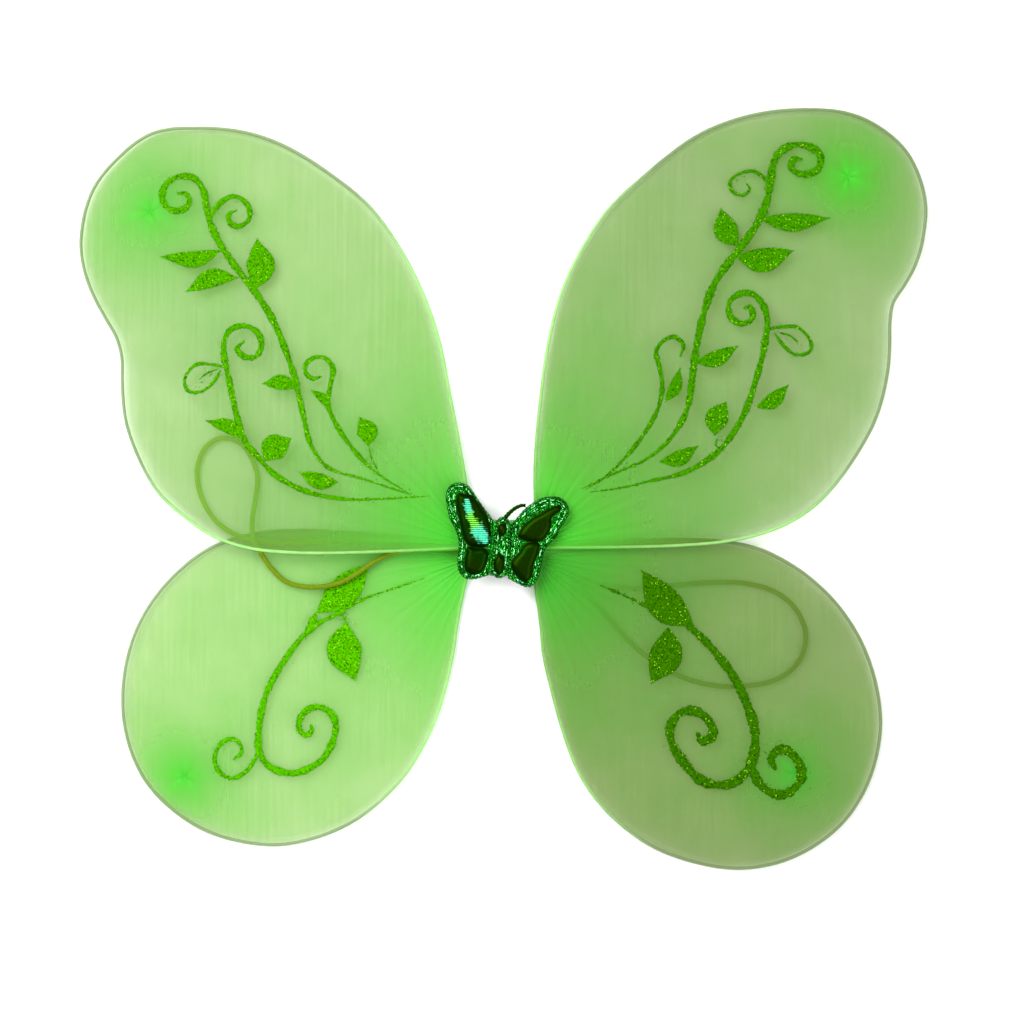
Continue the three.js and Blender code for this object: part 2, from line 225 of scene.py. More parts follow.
def ribbon(path, widths, heights, across=7, groove=0.0):
    """A domed strip that lies on its path, with a flat underside."""
    path = np.asarray(path, float)
    ahead = unit(np.gradient(path, axis=0))
    side = unit(np.cross(ahead, UP))
    angles = np.linspace(0, math.pi, across)
    dome = np.sin(angles) ** 0.7 * (1 - groove * np.exp(-((np.cos(angles) / 0.16) ** 2)))
    half = np.broadcast_to(np.asarray(widths) / 2, len(path))
    high = np.broadcast_to(heights, len(path))
    points = [centre + np.cos(angles)[:, None] * out * reach + dome[:, None] * UP * rise
              for centre, out, reach, rise in zip(path, side, half, high)]
    return np.vstack(points), rings_to_faces(len(path), across)


def filled(outline, inner):
    """Triangles over a flat outline and the points in it; also where the outline's corners went."""
    ring = [Vector(p) for p in outline]
    more = [Vector(p) for p in inner]
    made = delaunay_2d_cdt(ring + more, [], [list(range(len(ring)))], 1, 1e-5)
    corner = {start: end for end, starts in enumerate(made[3]) for start in starts}
    loop = [corner[i] for i in range(len(ring))]
    return np.array([tuple(p) for p in made[0]]), [list(face) for face in made[2]], loop


def two_faced(flat, faces, loop, top, bottom, rows=()):
    """A closed shell from a top and a bottom over the same flat mesh, joined by rows of edge points."""
    count, edge = len(flat), len(loop)
    points = [np.column_stack([flat, top]), np.column_stack([flat, bottom]), *rows]
    shell = [list(face) for face in faces]
    shell += [[corner + count for corner in reversed(face)] for face in faces]
    levels = [loop]
    levels += [[2 * count + row * edge + i for i in range(edge)] for row in range(len(rows))]
    levels += [[corner + count for corner in loop]]
    for high, low in zip(levels, levels[1:]):
        for i in range(edge):
            k = (i + 1) % edge
            shell.append([high[k], high[i], low[i], low[k]])
    return np.vstack(points), shell


def grid_in(outline, step, margin):
    """A triangular grid of points, at least margin inside an outline."""
    low, high = outline.min(axis=0), outline.max(axis=0)
    rows = np.arange(low[1], high[1], step * ROW_SHARE)
    points = np.array([[x + (step / 2 if i % 2 else 0), y]
                       for i, y in enumerate(rows) for x in np.arange(low[0], high[0], step)])
    points = points[inside(points, outline)]
    return points[to_edge(points, outline)[0] > margin]


def bumps(points, scale, seed):
    """Smooth noise from -1 to 1 at each point; features are about scale wide."""
    shift = Vector([seed * part for part in NOISE_STEP])
    full = np.column_stack([points, np.zeros(len(points))]) if points.shape[1] == 2 else points
    return np.array([noise.noise(Vector(p) / scale + shift) for p in full])


def piece(name, shape, looks, body, replaced=(), attributes=None):
    """A mesh in the frame, from points in millimetres, that rides on a body."""
    points, faces = shape
    mesh = bpy.data.meshes.new(name)
    mesh.from_pydata([tuple(p) for p in np.asarray(points) * MM], [], faces)
    work = bmesh.new()
    work.from_mesh(mesh)
    bmesh.ops.recalc_face_normals(work, faces=work.faces)
    work.to_mesh(mesh)
    work.free()
    mesh.shade_smooth()
    for title, values in (attributes or {}).items():
        layer = mesh.attributes.new(title, "FLOAT", "POINT")
        layer.data.foreach_set("value", np.asarray(values, np.float32))
    mesh.materials.append(looks)
    made = bpy.data.objects.new(name, mesh)
    bpy.context.collection.objects.link(made)
    if isinstance(body, str):
        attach(made, body)
    if replaced:
        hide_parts(*replaced)
    return made


# ---------------------------------------------------------------- materials
class Look:
    """A material being made, with short calls for the nodes that the looks share."""

    def __init__(self, name, color, roughness, metallic=0.0):
        self.material = bpy.data.materials.new(name)
        self.material.use_nodes = True
        self.tree = self.material.node_tree
        self.shader = self.tree.nodes["Principled BSDF"]
        self.output = self.tree.nodes["Material Output"]
        self.set(self.shader, {"Base Color": (*color, 1), "Roughness": roughness, "Metallic": metallic})
        self.place = self.node("ShaderNodeTexCoord").outputs["Object"]

    def set(self, node, values):
        for socket, value in values.items():
            if isinstance(value, bpy.types.NodeSocket):
                self.tree.links.new(value, node.inputs[socket])
            else:
                node.inputs[socket].default_value = value

    def surface(self, values):
        self.set(self.shader, values)

    def node(self, kind, values=None, **settings):
        made = self.tree.nodes.new(kind)
        for key, value in settings.items():
            setattr(made, key, value)
        self.set(made, values or {})
        return made

    def painted(self, title):
        """A number that a piece's mesh carries at each of its points."""
        return self.node("ShaderNodeAttribute", attribute_name=title).outputs["Fac"]

    def vector(self, operation, first, values):
        return self.node("ShaderNodeVectorMath", {0: first, **values}, operation=operation).outputs[0]

    def noise(self, scale, detail=3, roughness=0.55, place=None):
        return self.node("ShaderNodeTexNoise", {
            "Vector": place or self.place, "Scale": scale, "Detail": detail, "Roughness": roughness,
        }).outputs["Fac"]

    def spread(self, x, y, z):
        """The place, with each axis scaled by its own amount."""
        return self.vector("MULTIPLY", self.place, {1: (x, y, z)})

    def span(self, value, low, high, start=0.0, end=1.0):
        """The value, with low to high stretched to start to end and held there."""
        return self.node("ShaderNodeMapRange", {
            "Value": value, "From Min": low, "From Max": high, "To Min": start, "To Max": end,
        }).outputs["Result"]

    def calc(self, first, second, operation="ADD"):
        return self.node("ShaderNodeMath", {0: first, 1: second}, operation=operation).outputs[0]

    def blend(self, share, first, second):
        mixed = self.node("ShaderNodeMix", data_type="RGBA")
        for socket, value in ((0, share), (6, first), (7, second)):
            if isinstance(value, bpy.types.NodeSocket):
                self.tree.links.new(value, mixed.inputs[socket])
            else:
                mixed.inputs[socket].default_value = (*value, 1) if isinstance(value, tuple) else value
        return mixed.outputs[2]

    def bump(self, height, depth, strength=1.0):
        """Bump from a height of 0 to 1 that is depth millimetres deep."""
        made = self.node("ShaderNodeBump", {
            "Height": height, "Distance": depth * MM, "Strength": strength,
        })
        self.surface({"Normal": made.outputs["Normal"]})

    def flakes(self, size, spread):
        """Normals that turn at random from one small cell to the next; also the cells' random colour."""
        cells = self.node("ShaderNodeTexVoronoi", {"Vector": self.place, "Scale": 1 / (size * MM)})
        turn = self.vector("SUBTRACT", cells.outputs["Color"], {1: (0.5, 0.5, 0.5)})
        turn = self.vector("SCALE", turn, {"Scale": spread})
        turn = self.vector("ADD", turn, {1: self.node("ShaderNodeNewGeometry").outputs["Normal"]})
        return self.vector("NORMALIZE", turn, {}), cells.outputs["Color"]


# Each wing's nylon: the share a flat layer covers, its colours when flat and when gathered, how
# much its rows of knit show, and the colour of the glitter drawn on it. The colours differ from wing
# to wing as painted light and shade: the right-hand wings' nylon and glitter are painted greyer and
# darker, as if in shade from a light on the left.
NYLONS = {
    "upper_left": (0.37, (0.24, 0.43, 0.07), (0.10, 0.74, 0.04), 0.035, (0.05, 0.26, 0.0)),
    "upper_right": (0.41, (0.19, 0.33, 0.04), (0.09, 0.72, 0.03), 0.025, (0.036, 0.2, 0.0)),
    "lower_left": (0.36, (0.32, 0.53, 0.13), (0.12, 0.76, 0.05), 0.035, (0.06, 0.33, 0.0)),
    "lower_right": (0.46, (0.21, 0.31, 0.05), (0.08, 0.58, 0.03), 0.025, (0.026, 0.125, 0.0)),
}


def nylon_look(name, cover, pale, deep, rows):
    """Sheer stretched knit: each layer lets through what it doesn't scatter, less where it gathers."""
    look = Look(name, pale, 0.5)
    gather = look.painted("gather")
    cloud = look.span(look.noise(26, 2), 0.3, 0.7, -0.05, 0.05)
    fine = look.span(look.noise(1, 2, place=look.spread(420, 12, 12)), 0.32, 0.68, -rows, rows)
    knit = look.calc(fine, look.span(look.noise(17, 1), 0.4, 0.62, 0.25, 1), "MULTIPLY")
    density = look.calc(look.calc(gather, cloud), knit)
    shaded = tuple(0.75 * part for part in pale)
    blotched = look.blend(look.span(look.noise(14, 2), 0.5, 0.72, 0, 0.3), pale, shaded)
    color = look.blend(look.span(density, 0, 0.8), blotched, deep)
    share = look.span(density, -0.4, 1, cover - 0.4 * (0.95 - cover), 0.95)
    look.surface({"Base Color": color, "Specular IOR Level": 0.3, "Sheen Weight": 0.2})
    look.bump(look.noise(1, 2, place=look.spread(1400, 1400, 200)), 0.05, 0.4)
    through = look.node("ShaderNodeBsdfTranslucent", {"Color": color}).outputs[0]
    clear = look.node("ShaderNodeBsdfTransparent", {"Color": (0.96, 1, 0.93, 1)}).outputs[0]
    body = look.node("ShaderNodeMixShader", {0: 0.5, 1: look.shader.outputs[0], 2: through}).outputs[0]
    sheer = look.node("ShaderNodeMixShader", {0: share, 1: clear, 2: body}).outputs[0]
    look.set(look.output, {"Surface": sheer})
    return look.material


def glitter_look(name, tone):
    """Green glitter glue: small flakes that each face their own way, each painted lighter or darker at random
    as painted light and shade, with painted glints on the brightest few.
    """
    dark, middle, light = (tuple(share * part for part in tone) for share in (0.3, 1, 1.4))
    look = Look(name, tone, 0.5, 0.15)
    normal, random_color = look.flakes(0.55, 0.8)
    value = look.node("ShaderNodeSeparateColor", {"Color": random_color}).outputs[0]
    mixed = look.blend(look.span(value, 0.06, 0.3), dark, middle)
    mixed = look.blend(look.span(value, 0.5, 0.8), mixed, light)
    # The palest tone is a painted glint, on about one flake in a hundred.
    mixed = look.blend(look.span(value, 0.975, 0.985), mixed, (0.34, 0.66, 0.03))
    look.surface({"Base Color": mixed, "Normal": normal, "Specular IOR Level": 0.0})
    return look.material


def foil_look(name):
    """Holographic foil over padding: dark olive metal, with a painted highlight, a bright streak of fine cyan
    and lime lines where the metal is made less metallic.
    """
    look = Look(name, (0.02, 0.05, 0.001), 0.42, 1.0)
    painted_highlight = look.painted("painted_highlight")
    highlight_cyan = look.painted("highlight_cyan")
    patch = look.span(look.noise(70, 1), 0.42, 0.62)
    tint = look.blend(patch, (0.006, 0.025, 0.0), (0.003, 0.028, 0.0))
    lines = look.node("ShaderNodeTexWave", {
        "Vector": look.spread(0.35, 1, 0.3), "Scale": 260,
        "Distortion": 3, "Detail": 1, "Detail Scale": 30,
    }, bands_direction="Y").outputs["Fac"]
    # A painted highlight: the streak's bright lime and cyan colour, with less metal, stands in for a lamp's
    # reflection.
    streak = look.blend(highlight_cyan, (0.2, 0.9, 0.05), (0.1, 0.92, 0.55))
    bright = look.calc(painted_highlight, look.span(lines, 0.25, 0.75, 0.1, 1.2), "MULTIPLY")
    tint = look.blend(look.span(bright, 0.12, 0.5), tint, streak)
    metal = look.span(bright, 0.12, 0.5, 1, 0.25)
    look.surface({"Base Color": tint, "Metallic": metal, "Specular IOR Level": 0.2})
    look.bump(lines, 0.03, 0.15)
    return look.material


def beaded_foil_look(name):
    """Emerald foil with rows of pressed beads: painted shade between them, and painted highlights on some of
    their tops.
    """
    look = Look(name, (0.005, 0.12, 0.02), 0.24, 1.0)
    bead = look.painted("bead")
    normal, random_color = look.flakes(0.7, 0.6)
    value = look.node("ShaderNodeSeparateColor", {"Color": random_color}).outputs[1]
    teal = look.span(look.noise(60, 1), 0.6, 0.72, 0, 0.4)
    tint = look.blend(look.span(value, 0.1, 0.9), (0.002, 0.07, 0.004), (0.012, 0.26, 0.012))
    tint = look.blend(teal, tint, (0.0, 0.15, 0.06))
    painted_glint = look.painted("painted_glint")
    single = look.calc(look.span(bead, 0.45, 0.75), look.span(value, 0.74, 0.8), "MULTIPLY")
    dash = look.calc(look.span(painted_glint, 0.4, 0.7), look.span(value, 0.2, 0.5), "MULTIPLY")
    top = look.calc(single, dash, "MAXIMUM")
    # Painted shade darkens the hollows between the beads; painted highlights brighten some bead tops and the
    # dashes, with less metal there.
    tint = look.blend(look.span(bead, -0.5, 0.3), (0.001, 0.03, 0.0), tint)
    tint = look.blend(top, tint, (0.22, 0.75, 0.3))
    look.surface({"Base Color": tint, "Normal": normal, "Metallic": look.span(top, 0, 1, 1, 0.4)})
    return look.material


def coated_wire_look(name):
    """Coated wire: mint by the hub, as painted light, and darkened to grey green farther out, as painted
    shade.
    """
    look = Look(name, (0.45, 0.84, 0.33), 0.3)
    wear = look.noise(240, 4)
    lit = look.painted("lit")
    tone = look.blend(look.span(wear, 0.35, 0.75), (0.4, 0.8, 0.28), (0.55, 0.9, 0.42))
    look.surface({
        "Base Color": look.blend(lit, (0.25, 0.31, 0.2), tone),
        "Roughness": look.span(wear, 0.3, 0.7, 0.25, 0.5),
    })
    look.bump(look.noise(900, 2), 0.05, 0.5)
    return look.material


def thread_look(name):
    """Spun thread: fine fibres, light and dark."""
    dark, light = (0.01, 0.22, 0.015), (0.05, 0.5, 0.05)
    look = Look(name, light, 0.75)
    fibre = look.noise(1, 3, place=look.spread(3200, 3200, 900))
    tone = look.blend(look.span(fibre, 0.3, 0.7), dark, light)
    look.surface({"Base Color": tone, "Sheen Weight": 0.4})
    look.bump(fibre, 0.12, 0.8)
    return look.material


def felt_look(name):
    """Green felt: fuzzy, with a few paler blotches."""
    look = Look(name, (0.06, 0.42, 0.06), 0.95)
    fuzz = look.noise(1700, 5, 0.7)
    blotch = look.noise(160, 2)
    tone = look.blend(look.span(fuzz, 0.3, 0.72), (0.02, 0.24, 0.02), (0.1, 0.58, 0.09))
    tone = look.blend(look.span(blotch, 0.45, 0.75, 0, 0.4), tone, (0.13, 0.62, 0.14))
    look.surface({"Base Color": tone, "Sheen Weight": 0.7, "Sheen Roughness": 0.5})
    look.bump(fuzz, 0.3, 0.9)
    return look.material


def tape_look(name):
    """Crinkled paper tape."""
    look = Look(name, (0.1, 0.5, 0.09), 0.7)
    crinkle = look.noise(1, 4, place=look.spread(1300, 260, 260))
    tone = look.blend(look.span(crinkle, 0.3, 0.7), (0.05, 0.36, 0.05), (0.16, 0.62, 0.13))
    look.surface({"Base Color": tone})
    look.bump(crinkle, 0.25, 0.8)
    return look.material


def glue_look(name):
    """Hot glue: cream and cloudy, and it lets some light through."""
    look = Look(name, (0.82, 0.8, 0.68), 0.25)
    look.surface({"Transmission Weight": 0.35, "IOR": 1.48})
    haze = look.noise(300, 3)
    look.surface({"Base Color": look.blend(haze, (0.7, 0.66, 0.5), (0.9, 0.88, 0.8))})
    look.bump(look.noise(220, 2), 0.3, 0.6)
    return look.material


def elastic_look(name):
    """Braided cover: fine crossing yarns of yellow green, darkened to olive as painted shade where the cord
    lies in shade, and blotched olive here and there.
    """
    look = Look(name, (0.27, 0.34, 0.004), 0.7)
    yarn = look.node("ShaderNodeTexVoronoi", {"Vector": look.place, "Scale": 1500}).outputs["Distance"]
    soil = look.noise(45, 3)
    painted_shade = look.painted("painted_shade")
    lit = look.blend(look.span(yarn, 0.1, 0.7), (0.38, 0.56, 0.0), (0.22, 0.38, 0.0))
    painted_shade_tone = look.blend(look.span(yarn, 0.1, 0.7), (0.12, 0.18, 0.0), (0.06, 0.1, 0.0))
    tone = look.blend(painted_shade, lit, painted_shade_tone)
    tone = look.blend(look.span(soil, 0.45, 0.75, 0, 0.3), tone, (0.13, 0.15, 0.0))
    look.surface({
        "Base Color": tone, "Specular IOR Level": 0.15,
        "Sheen Weight": 0.35, "Sheen Roughness": 0.4, "Sheen Tint": (0.35, 0.7, 0.02, 1),
    })
    look.bump(yarn, -0.15, 0.7)
    return look.material


LOOKS = {name: make(name) for name, make in (
    ("foil", foil_look), ("foil_edge", beaded_foil_look), ("wire", coated_wire_look), ("thread", thread_look),
    ("felt", felt_look), ("tape", tape_look), ("glue", glue_look), ("elastic", elastic_look),
)}
for wing_name, (*cloth, glitter_tone) in NYLONS.items():
    LOOKS[f"{wing_name}_nylon"] = nylon_look(f"{wing_name}_nylon", *cloth)
    LOOKS[f"{wing_name}_glitter"] = glitter_look(f"{wing_name}_glitter", glitter_tone)


# ---------------------------------------------------------------- elastic shoulder loops
ELASTIC_DIAMETER = 3.0
ELASTIC_STEP = 0.9
ELASTIC_SIDES = 14
BRAID_YARNS = 7
BRAID_PITCH = 9.0               # length of one turn of the braid's ridges
LEFT_LOOP = [
    (-25.7, 3.2, 5.9), (-29, 3.3, 5.9), (-38, 3.8, 5.8), (-50, 4.4, 5.7), (-75, 4.6, 5.7), (-100, 4.4, 5.7),
    (-122, 3.1, 5.7), (-134, 2.9, 5.7), (-146, 4.6, 5.6), (-158, 8, 5.4), (-168, 14.5, 4.9),
    (-175.5, 24, 3.2), (-180, 35, 1.7), (-181, 46, 1.6), (-177, 58, 1.6), (-168, 64.5, 1.6),
    (-157.5, 63, 1.6), (-149.5, 54, 1.6), (-145.5, 42, 1.8), (-146.5, 28, 3.6), (-147.8, 16, 7.2),
    (-147, 6, 9.0), (-144, -0.5, 8.4), (-141.7, -4.7, 7.4), (-136.4, -12.3, 6.2), (-127.6, -20, 5.9),
    (-115.8, -22.8, 5.9), (-106, -22.5, 5.9), (-95.8, -20, 5.9), (-87, -15.3, 5.9), (-78.2, -9.2, 5.9),
    (-70, -4.6, 5.9), (-60, -1.6, 5.9), (-48, -0.6, 5.9), (-38, -0.4, 5.9), (-29, -0.2, 5.9),
    (-25.7, -0.2, 5.9),
]
RIGHT_LOOP_HEIGHT = 1.6
RIGHT_LOOP = [(x, y, RIGHT_LOOP_HEIGHT) for x, y in [
    (18.5, -3.2), (21.5, -3.5), (30, -7.4), (42, -15.5), (58, -22), (78, -23.6), (100, -22), (122, -20.4),
    (143, -21), (160, -26), (172, -36), (178, -51), (174.5, -66), (162, -77), (142, -81.5), (120, -80.5),
    (98, -73), (78, -59), (60, -39.5), (46, -24), (33, -12.6), (21.5, -7.4), (18.5, -7.2),
]]


def elastic_loop(name, route, body):
    """A shoulder loop: a braided cord whose two directions of yarn leave crossing ridges."""
    line = smooth(route, ELASTIC_STEP)
    angles = round_angles(ELASTIC_SIDES)
    along = np.arange(len(line))[:, None] * ELASTIC_STEP * math.tau / BRAID_PITCH
    ridges = np.maximum(np.cos(BRAID_YARNS * angles + along), np.cos(BRAID_YARNS * angles - along))
    radius = ELASTIC_DIAMETER / 2 * (0.97 + 0.05 * ridges)
    # Painted shade: the left loop's run below the middle, and all of the right loop, are darkened towards
    # olive.
    painted_shade = np.where(line[:, 0] < 0, 0.7 * np.clip(-line[:, 1] / 4, 0, 1), 0.8)
    cord = piece(name, tube(line, radius, ELASTIC_SIDES), LOOKS["elastic"], body,
                 replaced=[name.removesuffix("_cord")],
                 attributes={"painted_shade": np.repeat(painted_shade, ELASTIC_SIDES)})


elastic_loop("left_elastic_loop_cord", LEFT_LOOP, "left_wing")
elastic_loop("right_elastic_loop_cord", RIGHT_LOOP, "hub")


def winding(x0, x1, centre_y, centre_z, half_y, half_z, turns, thread, steps=28):
    """A thread wound round a flat bundle that runs along x; it ends where it began, on the far side."""
    turn = np.linspace(0, turns, int(turns * steps) + 1)
    wobble = 0.06 * np.sin(turn * 9.1)
    path = np.column_stack([
        x0 + (x1 - x0) * turn / turns,
        centre_y + (half_y + wobble) * np.cos(turn * math.tau),
        centre_z + (half_z + wobble) * np.sin(turn * math.tau),
    ])
    return tube(path, thread, 7)


def elastic_knot(name, body, strands_y):
    """The two ends of a loop, side by side and whipped together with thread."""
    low, high = box_of(name)
    centre = (low + high) / 2
    half = (high - low) / 2
    parts = []
    for y in strands_y:
        strand = even(np.array([[low[0] + 0.4, y, centre[2]], [high[0] - 0.4, y, centre[2]]]), 0.5)
        swell = 1.25 + 0.1 * np.sin(np.arange(len(strand)) * 2.1)
        parts.append(tube(strand, swell, 12))
    thread = 0.32
    whip = winding(low[0] + 1.3, high[0] - 1.3, centre[1], centre[2],
                   half[1] - 0.9, half[2] - thread, 7, thread)
    piece(f"{name}_strands", merged(*parts), LOOKS["elastic"], body, replaced=[name])
    piece(f"{name}_whipping", whip, LOOKS["thread"], body)


elastic_knot("left_elastic_knot", "left_wing", (3.2, -0.2))
elastic_knot("right_elastic_knot", "hub", (-3.2, -7.2))


# ---------------------------------------------------------------- the wings' wires
WIRE_RADIUS = 0.9
WIRE_SIDES = 10
CAD_WIRE_CORNERS = 6            # in each ring of the CAD wire's mesh


def wire_line(node):
    """The centreline of a CAD wire, end to end, from the middles of its rings of corners."""
    mesh = NODES[node].data
    index = {}
    corner_of = [index.setdefault(tuple(round(x / MM, 3) for x in v.co), len(index)) for v in mesh.vertices]
    places = np.array(list(index))
    joined = [set() for _ in places]
    for polygon in mesh.polygons:
        ring = [corner_of[i] for i in polygon.vertices]
        for a, b in zip(ring, ring[1:] + ring[:1]):
            joined[a].add(b)
            joined[b].add(a)
    ends = np.argsort(np.abs(places[:, 0]))[:2 * CAD_WIRE_CORNERS]
    layer = set(sorted(ends, key=lambda i: -places[i][1])[:CAD_WIRE_CORNERS])
    seen = set(layer)
    middles = []
    while layer:
        middles.append(places[sorted(layer)].mean(axis=0))
        layer = {n for i in layer for n in joined[i]} - seen
        seen |= layer
    return np.array(middles)


class Wing:
    """One wing's wire, the plane it lies in, and the height of its nylon."""

    edge_reach = 1.15           # the nylon's outside, from the middle of the wire
    middle_height = 0.45        # half the gap between the layers away from the wire
    rim_fall = 7                # the layers close up over about this distance in from the wire
    slack, slack_width = 0.12, 42
    pleat_height, pleat_reach = 0.75, 34
    pucker_height, pucker_reach = 0.4, 6

    def __init__(self, name, body, seed):
        self.name, self.body, self.seed = name, body, seed
        self.wire = smooth(wire_line(f"{name}_wire"), 2.5)
        x, y, z = self.wire.T
        self.slope = np.linalg.lstsq(np.column_stack([x, y, np.ones(len(x))]), z, rcond=None)[0]
        self.outline = self.wire[:, :2]
        self.tie = middle_of(f"{name}_root_tie")
        self.root = self.tie[:2]
        self.knot = middle_of(f"{name}_tip_knot")[:2]

    def plane(self, xy):
        """The height of the wire's plane under flat points."""
        return xy @ self.slope[:2] + self.slope[2]

    def polar(self, xy, centre):
        """Each point's distance and direction from a centre."""
        off = xy - centre
        return np.linalg.norm(off, axis=1), np.arctan2(off[:, 1], off[:, 0])

    def pleats(self, angle, front):
        """Fine folds that run out from the root, from -1 to 1."""
        phase = self.seed + (0 if front else 2.4)
        return (0.5 * np.sin(47 * angle + phase) + 0.3 * np.sin(71 * angle + 2.1 * phase)
                + 0.2 * np.sin(113 * angle + 3.7 * phase))

    def pucker(self, angle):
        """Broad folds round the knot, from -1 to 1."""
        phase = self.seed * 1.7
        return np.cos(5 * angle + phase) * 0.6 + np.cos(8 * angle - phase) * 0.4

    def height(self, xy, front=True):
        """How far a layer stands off the plane of the wire."""
        edge = to_edge(xy, self.outline)[0]
        rise = self.middle_height + (self.edge_reach - self.middle_height) * np.exp(-edge / self.rim_fall)
        rise = rise + self.slack * bumps(xy, self.slack_width, self.seed + (0 if front else 5))
        far, angle = self.polar(xy, self.root)
        held = np.clip(edge / 5, 0, 1)
        pleated = np.exp(-far / self.pleat_reach) * self.pleats(angle, front)
        rise = rise + held * self.pleat_height * pleated
        far, angle = self.polar(xy, self.knot)
        puckered = np.exp(-far / self.pucker_reach) * self.pucker(angle)
        rise = rise + self.pucker_height * puckered * np.clip(far / 2, 0, 1)
        sink = np.exp(-((far / 4.2) ** 1.3))
        return (rise if front else -rise) - sink * (1.2 if front else 1.6)

    def gather(self, xy, front=True):
        """How closely the nylon is bunched, from 0, fully stretched, to 1."""
        far, angle = self.polar(xy, self.root)
        root = np.exp(-((far / 62) ** 1.15)) + 0.16 * np.exp(-far / 42) * self.pleats(angle, front)
        far, angle = self.polar(xy, self.knot)
        knot = 0.85 * np.exp(-((far / 19) ** 0.9)) + 0.16 * np.exp(-far / 9) * self.pucker(angle)
        return np.clip(np.maximum(root, 0) + np.maximum(knot, 0), 0, 1)


def rim_rows(wing, normals):
    """Where the nylon turns round the wire, from the front layer's edge to the back's."""
    rows = []
    for turn in (60, 30, 0, -30, -60):
        flat = wing.outline + normals * wing.edge_reach * math.cos(math.radians(turn))
        rise = wing.edge_reach * math.sin(math.radians(turn))
        rows.append(np.column_stack([flat, wing.plane(wing.outline) + rise]))
    return rows


def pleat_points(wing):
    """Points of the nylon's mesh on circles round the root, closest where the pleats are finest."""
    far = 3.0
    points = []
    angles = np.radians(np.arange(-180, 180, 0.9))
    while far < 380:
        points.append(wing.root + far * on_circle(angles))
        far += min(6.5, max(1.2, far * 0.045))
    return np.vstack(points)


def pucker_points(wing):
    """Points of the nylon's mesh on circles round the knot."""
    ring = on_circle(np.radians(np.arange(0, 360, 10)))
    return np.vstack([wing.knot + far * ring for far in (0.7, 1.4, 2.2, 3.1, 4.2, 5.5, 7, 9, 11.5, 14.5)])


def nylon_pouch(wing):
    """The stocking stretched over the wire: a front and a back layer that meet round the rim."""
    normals = outward(wing.outline)
    inner = np.vstack([pleat_points(wing), pucker_points(wing)])
    inner = inner[inside(inner, wing.outline)]
    near_root = np.linalg.norm(inner - wing.root, axis=1) < 45
    inner = inner[to_edge(inner, wing.outline)[0] > np.where(near_root, 1.3, 5.2)]
    for far in (1.0, 2.2, 3.6, 4.6):
        band = wing.outline - normals * far
        band = band[inside(band, wing.outline)]
        inner = np.vstack([inner, band[to_edge(band, wing.outline)[0] > 0.8 * far]])
    flat, faces, loop = filled(wing.outline, inner)
    rows = rim_rows(wing, normals)
    base = wing.plane(flat)
    front, back = base + wing.height(flat), base + wing.height(flat, False)
    shape = two_faced(flat, faces, loop, front, back, rows)
    edge = to_edge(flat, wing.outline)[0]
    thin = 0.26 * np.exp(-((edge / 1.3) ** 2)) + 0.1 * np.exp(-((edge / 4.0) ** 6))
    rim = 1.2 * wing.gather(wing.outline) - 0.36
    gather = [wing.gather(flat) - thin, wing.gather(flat, False) - thin] + [rim] * len(rows)
    pouch = piece(f"{wing.name}_nylon", shape, LOOKS[f"{wing.name}_nylon"], wing.body,
                  replaced=[f"{wing.name}_sleeve"],
                  attributes={"gather": np.concatenate(gather)})


def wing_wire(wing):
    """The loop of coated wire, with painted light near the hub and along the upper wings' lower sides, and
    painted shade elsewhere.
    """
    x, y, _ = np.abs(wing.wire.T)
    lit = np.clip((90 - x) / 50, 0, 1)
    if wing.name.startswith("upper"):
        lit = np.maximum(lit, np.clip((50 - y) / 38, 0, 1))
    piece(f"{wing.name}_wire_loop", tube(wing.wire, WIRE_RADIUS, WIRE_SIDES), LOOKS["wire"], wing.body,
          replaced=[f"{wing.name}_wire"], attributes={"lit": np.repeat(lit, WIRE_SIDES)})


def root_tie(wing):
    """Thread wound tight round the gathered nylon and the two legs of the wire."""
    low, high = box_of(f"{wing.name}_root_tie")
    half = (high - low) / 2
    x, y, z = wing.tie
    wound = winding(low[0] + 0.35, high[0] - 0.35, y, z, half[1] - 0.42, half[2] - 0.42, 6, 0.33)
    side = math.copysign(1, x)
    tails = [smooth([(x, y + 2.4, z + 1.4), (x + side * 1.2, y + 3.4, z + 1.5),
                     (x + side * lean, y + 5.2, z + 0.6)], 0.4) for lean in (1.0, 2.8)]
    knot = smooth([(x - 0.9, y + 2.1, z + 1.5), (x, y + 3.1, z + 1.9), (x + 0.9, y + 2.2, z + 1.6),
                   (x, y + 1.5, z + 1.9)], 0.3, closed=True)
    parts = [wound, tube(knot, 0.35, 7, closed=True)] + [tube(tail, 0.24, 6) for tail in tails]
    piece(f"{wing.name}_root_thread", merged(*parts), LOOKS["thread"], wing.body,
          replaced=[f"{wing.name}_root_tie"])


